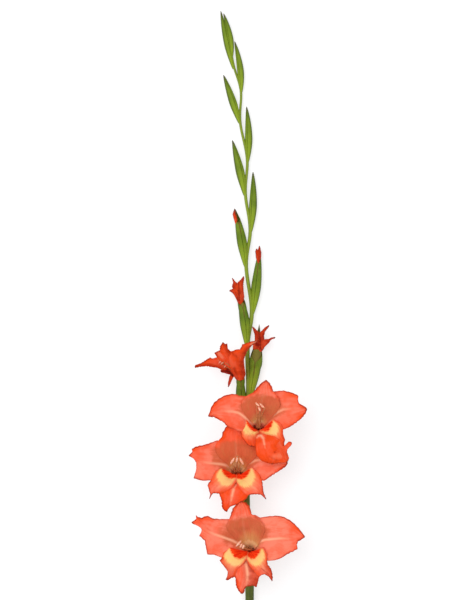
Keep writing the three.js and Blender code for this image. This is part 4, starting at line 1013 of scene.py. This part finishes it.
def insideBy(picture, outline):
    # mm inside a closed outline, and minus the mm outside: the least distance to its sides, signed by
    # how many of them a line drawn to the right crosses
    start = np.array(outline, float)
    run = np.roll(start, -1, axis=0) - start
    off = picture[..., None, :] - start
    share = np.clip((off * run).sum(-1) / (run ** 2).sum(1), 0, 1)
    least = np.linalg.norm(off - share[..., None] * run, axis=-1).min(-1)
    level = np.where(run[:, 1] == 0, 1e-9, run[:, 1])
    x, y = off[..., 0], off[..., 1]
    crossed = ((y < 0) != (y < run[:, 1])) & (x < run[:, 0] * y / level)
    return np.where(crossed.sum(-1) % 2 == 1, least, -least)


throatLook = {"tanEdge": 1.16, "tanFade": 0.55, "oliveFade": 0.6, "heart": 12.5, "band": 22, "bandWidth": 3.0,
              "shade": 0.15, "shadeReach": 6, "pit": 0.9}


def throatShade(bloom, picture):
    # tan within the disc round the throat, painted shade where petals overlap; olive in a fan at its foot,
    # lightened towards its heart as painted light; a brown band; and painted shade near the throat and in
    # the dark pits where it opens
    look = throatLook
    if not bloom["isOpen"]:
        return 0.0, 0.0, 0.0, 0.0
    x, y = picture[..., 0], picture[..., 1]
    atX, atY, wide, high = bloom["disc"]
    tanShade = smooth((look["tanEdge"] - np.hypot((x - atX) / wide, (y - atY) / high)) / look["tanFade"])
    far = np.hypot(x, y)
    olive = smooth((bloom["olive"] - np.hypot(1.5 * x, y)) / (look["oliveFade"] * bloom["olive"]))
    # lighter towards the throat's heart, whose steep walls lie in shade: painted light
    olive = olive * (1 + 0.9 * smooth((look["heart"] - far) / 7))
    band = bloom["band"] * bell((np.hypot(0.8 * x, y) - look["band"]) / look["bandWidth"])
    dark = look["shade"] * smooth((look["shadeReach"] - far) / 5)
    for pitX, pitY, size in bloom["pits"]:
        inside = 1.5 * size - np.hypot(x - pitX, 0.8 * (y - pitY))
        dark = np.maximum(dark, look["pit"] * smooth(inside / (1.2 * size)))
    return tanShade, olive, band, dark


def finishBloom(bloom, key, body):
    finish(f"{bloom['name']}_{key}", body, petalSkin, f"{bloom['name']}_tepals")


def buildPetal(bloom, key, petal):
    shape = petalShape
    middle, picture, t, v, half, creaseShade = petalSurface(bloom, petal)
    thickness = mix(shape["thick"], shape["thin"], np.abs(v) ** 3) * (1 if bloom["isOpen"] else 0.8)
    fromRib = np.abs(v) * half
    fromTip = np.linalg.norm(picture - picture[-1, shape["columns"] // 2], axis=-1)
    fromEdge = np.minimum(half - fromRib, fromTip)
    isLip = "red" in petal
    red, yellow = (insideBy(picture, petal[mark]) if isLip else -9.0 for mark in ("red", "yellow"))
    others = [insideBy(picture, other["a"] + other["b"][::-1])
              for name, other in bloom["petals"].items() if name != key]
    margin, fade = shape["neighbour"]
    over = smooth((np.max(others + [0 * t - 9], axis=0) + margin) / fade)
    tanShade, olive, band, dark = throatShade(bloom, picture)
    tanShade = tanShade * shape["tan"].get(key, 0.0)
    olive = olive * (1.0 if key in shape["tan"] else 0.3)
    near, far = petal["rich"]
    rich = mix(near, far, smooth((t - 0.55) / 0.45))
    rich = rich * mix(0.5 if near < 1.2 else 0.9, 1.0, smooth((fromRib - 1.5) / 7))
    rich = rich + 0.8 * smooth(1 - fromEdge / shape["deepRim"]) * smooth((t - 0.35) / 0.35)
    stripe = petal["stripe"] * smooth((t - 0.02) / 0.1) * (1 - smooth((t - 0.5) / 0.3))
    stripe = stripe * mix(1.0, 0.7, smooth((t - 0.3) / 0.3))
    stripe = stripe * smooth((shape["stripe"] - fromRib) / (0.9 * shape["stripe"]))
    # pale lines: paler stripes, and on some petals painted highlights on the lit side of a fold
    for *line, width, strength in petal["pales"]:
        stripe = np.maximum(stripe, strength * nearLine(picture, line, width))
    line = petal["line"] * (1 - tanShade) * (1 - 0.5 * over) * mix(0.25, 1.0, smooth((t - 0.3) / 0.4))
    line = line * (1.0 if isLip else shape["line"]) * (smooth((t - 0.55) / 0.2) if key == "hood" else 1.0)
    reach, strength = petal["dried"]
    dried = 0.85 * strength * bell(fromTip / reach)
    # crimson on a side and towards the ends, and crease darkness: the buds' own deep red, and painted shade
    shade = mix(*petal["crimson"], smooth((v + 0.7) / 1.4)) * smooth(t / 0.3 + 0.4)
    shade = np.maximum(shade + petal["ends"] * smooth((t - 0.45) / 0.4), np.minimum(creaseShade, 1))
    dark = np.maximum(dark, np.clip(creaseShade - 1, 0, 1))
    rising = np.cross(np.gradient(middle, axis=1), np.gradient(middle, axis=0))[..., 2].mean() > 0

    def faces(upper, lower=None):
        # a field's values on the upper face, and on the under face where they differ
        sides = (upper, lower or upper) if rising else (lower or upper, upper)
        return np.concatenate([fieldOf(t.shape, *side) for side in sides])

    # the tan and the dark of painted shade and the olive with its painted light hardly show on the under face
    values = {"uv": faces([(v + 1) / 2, t]), "rim": faces([over, fromEdge, 0]),
              "place": faces([red, yellow, isLip], [red, yellow, 0.25 * isLip]),
              "tint": faces([tanShade, rich, stripe], [0.25 * tanShade, rich, 0.4 * stripe]),
              "touch": faces([line, shade, dried]),
              "hollow": faces([olive, band, dark], [0.2 * olive, 0, 0])}
    finishBloom(bloom, key, (*shellOf(middle, thickness), values))


for bloom in flowers:
    for key, petal in bloom["petals"].items():
        buildPetal(bloom, key, petal)
print("petals made")

tubeShape = {"start": {"bloom_4": 0.74, "bud_5": 0.62, "bud_6": 0.74}, "foot": 2.0, "mouth": 6.1, "rows": 40,
             "sides": 36, "wall": 0.5, "pit": 14, "end": 0.86, "leaving": 0.4, "arriving": 0.45,
             "inBract": 0.8, "ridge": 0.02}
stamenShape = {"filament": (0.9, 0.3), "anther": 1.05, "style": 0.45, "branch": 1.7, "tip": (0.3, 0.5),
               "open": (27.5, 1.0), "halfOpen": (8, 0.45), "sides": 14, "rows": 26,
               "tilt": (-1.5, 1.5), "spacing": 1.3, "joint": 0.3, "bow": 0.3}
upwards = np.array([0, 0, 1.0])


def buildTube(bloom):
    # cubic Bezier that leaves along the bracts and turns to the flower's facing, widening to the
    # throat; the wall turns in at the mouth and runs back down to a closed pit
    shape = tubeShape
    sides, pit, rows = shape["sides"], shape["pit"], shape["rows"]
    isOpen = bloom["isOpen"]
    f = florets[bloom["floret"]]
    start = shape["start"].get(bloom["name"], 0.3)
    t = np.linspace(0, 1, rows)
    if bloom["facing"]:
        foot, ahead = bractLine(f, np.array([start, start + 0.01]))
        throat = inPlan(bloom, (0, 0), bloom["height"])
        facing = unit(np.array(bloom["facing"], float))
        reach = np.linalg.norm(throat - foot)
        leaving = foot + unit(ahead - foot) * shape["leaving"] * reach
        path = bezier([foot, leaving, throat - facing * shape["arriving"] * reach, throat], t)
        radius = mix(shape["foot"], shape["mouth"] * bloom["scale"], smooth((t - 0.2) / 0.8))
    else:
        share = mix(start, shape["end"], t)
        path = bractLine(f, share)
        radius = f["girth"] * spindle(share) * shape["inBract"]
    ridges = 1 + shape["ridge"] * np.cos(6 * turnOf(sides))
    rings = ringsOf(path, radius[:, None] * ridges, np.array([1.0, 0, 0]))
    if isOpen:
        centre = rings.mean(1, keepdims=True)
        inner = centre + (rings - centre) * (1 - shape["wall"] / radius)[:, None, None]
        rings = np.concatenate([rings, inner[:rows - pit:-1]])
    else:
        rings = rings[:-pit // 2]
    body = tubeOf(rings)
    count = len(rings)
    ring = np.append(np.repeat(np.arange(count), sides), [0, count])
    around = np.append(np.tile(np.arange(sides) / sides, count), [0, 0])
    # an open tube's inside is tan and darker towards its pit, painted shade; a bud's tube is olive-brown at
    # its foot
    inside = smooth((ring - rows + 3) / 4.0) * isOpen
    depth = inside * smooth((ring - rows) / 16.0 + 0.3)
    low = (not isOpen) * smooth((0.8 - ring / rows) / 0.25)
    fields = {"rim": (0, 9, 0), "place": (-9, -9, 0), "touch": (0, 0.05 if isOpen else 0.5, 0),
              "tint": (np.maximum(inside, low), 1.3 if isOpen else 2.0, 0),
              "hollow": (np.maximum(inside, 0.3 * low), 0.8 * low, depth), "uv": (around, 0.3 + 0.01 * ring)}
    finishBloom(bloom, "tube", (*body, {key: fieldOf(ring.shape, *given) for key, given in fields.items()}))


def rodOf(path, radius):
    reach = np.repeat(radius[:, None], stamenShape["sides"], 1)
    return (*tubeOf(ringsOf(path, reach, np.array([0.3, 0.2, 1.0]))), {})


def buildStamens(bloom, lift, girth):
    # filaments bow up from the throat to their anthers, which are spindles; the style passes behind them
    shape = stamenShape
    throat = inPlan(bloom, (0, 0), bloom["height"])
    z = bloom["height"] + lift
    t = np.linspace(0, 1, shape["rows"])
    slimming = mix(*shape["filament"], t) * girth
    swell = girth * shape["anther"] * np.sqrt(np.maximum(0.03, np.sin(np.pi * np.clip(t, 0.01, 0.99))))
    filaments, heads = [], []
    for k, ends in enumerate(bloom["anthers"]):
        a, b = (inPlan(bloom, end, z + rise) for end, rise in zip(ends, shape["tilt"]))
        foot = throat + [shape["spacing"] * (k - 1), 0.4, 1.0]
        joint = mix(a, b, shape["joint"])
        bow = mix(foot, joint, 0.4) + upwards * shape["bow"] * lift
        filaments.append(rodOf(bezier([foot, bow, joint - upwards * 0.6], t), slimming))
        heads.append(rodOf(mix(a, b, t[:, None]) + upwards * np.sin(np.pi * t)[:, None], swell))
    top = inPlan(bloom, bloom["anthers"][1][1], z) + upwards
    foot = throat + [0, 1.2, 1.0]
    style = bezier([foot, mix(foot, top, 0.45) + [0, 2.0, 4.0], top], t)
    filaments.append(rodOf(style, shape["style"] + 0 * t))
    tipped = mix(*shape["tip"], smooth(t)) * np.sqrt(np.maximum(0.05, 1 - t ** 8))
    for turn in np.radians([30, 150, 270]):
        way = np.array([np.cos(turn), np.sin(turn), 0.5]) * shape["branch"]
        filaments.append(rodOf(bezier([top, top + 0.5 * way + upwards, top + way], t), tipped))
    for key, bodies, skin in (("filaments", filaments, filamentSkin), ("anthers", heads, antherSkin)):
        finish(f"{bloom['name']}_{key}", joined(bodies), skin, f"{bloom['name']}_stamens")


for bloom in flowers:
    buildTube(bloom)
    if bloom["anthers"]:
        buildStamens(bloom, *stamenShape["open" if bloom["isOpen"] else "halfOpen"])
print("tubes and stamens made")

stageLook = {"floor": (0.36, 0.36, 0.365), "glow": 0.625, "size": 30.0, "under": -0.0006, "world": 0.76,
             "lampSize": 1.8, "lamps": {"key": (40.0, (-0.9, 0.6, 2.3)), "fill": (8.0, (1.2, -0.6, 2.0))}}


def buildStage():
    look = stageLook
    half = look["size"] / 2
    mesh = bpy.data.meshes.new("floor")
    corners = [(x * half, y * half, look["under"]) for x, y in ((-1, -1), (1, -1), (1, 1), (-1, 1))]
    mesh.from_pydata(corners, [], [(0, 1, 2, 3)])
    material, _, shader = materialOf("floorPaper", 0.9, 0.1)
    put(shader.inputs["Base Color"], look["floor"])
    put(shader.inputs["Emission Color"], (1, 1, 1))
    put(shader.inputs["Emission Strength"], look["glow"])
    mesh.materials.append(material)
    linked("floor", mesh)
    world = bpy.data.worlds.new("studio")
    bpy.context.scene.world = world
    world.use_nodes = True
    sky = world.node_tree.nodes["Background"].inputs
    put(sky["Color"], (1, 1, 1))
    seen = nodeIn(world.node_tree, "ShaderNodeLightPath")["Is Camera Ray"]
    put(sky["Strength"], ramp(seen, 0.0, 1.0, (look["world"], 1.0)))
    for name, (energy, place) in look["lamps"].items():
        lamp = bpy.data.lights.new(name, "AREA")
        lamp.energy = energy
        lamp.size = look["lampSize"]
        holder = linked(name, lamp)
        holder.location = place
        # turned so that it looks at the middle of the frame
        x, y, z = place
        holder.rotation_euler = (math.atan2(math.hypot(x, y), z), 0, math.atan2(-x, y) + math.pi)


def buildCamera():
    data = bpy.data.cameras.new("camera")
    data.sensor_width = 36.0
    data.lens = data.sensor_width * (view["distance"] - view["focus"]) / view["high"]
    camera = linked("camera", data)
    camera.location = (np.array([*view["over"], view["distance"]]) - origin) * metre
    bpy.context.scene.camera = camera


buildStage()
buildCamera()
bpy.context.scene.view_settings.view_transform = "Standard"
print("stage, light and camera made")
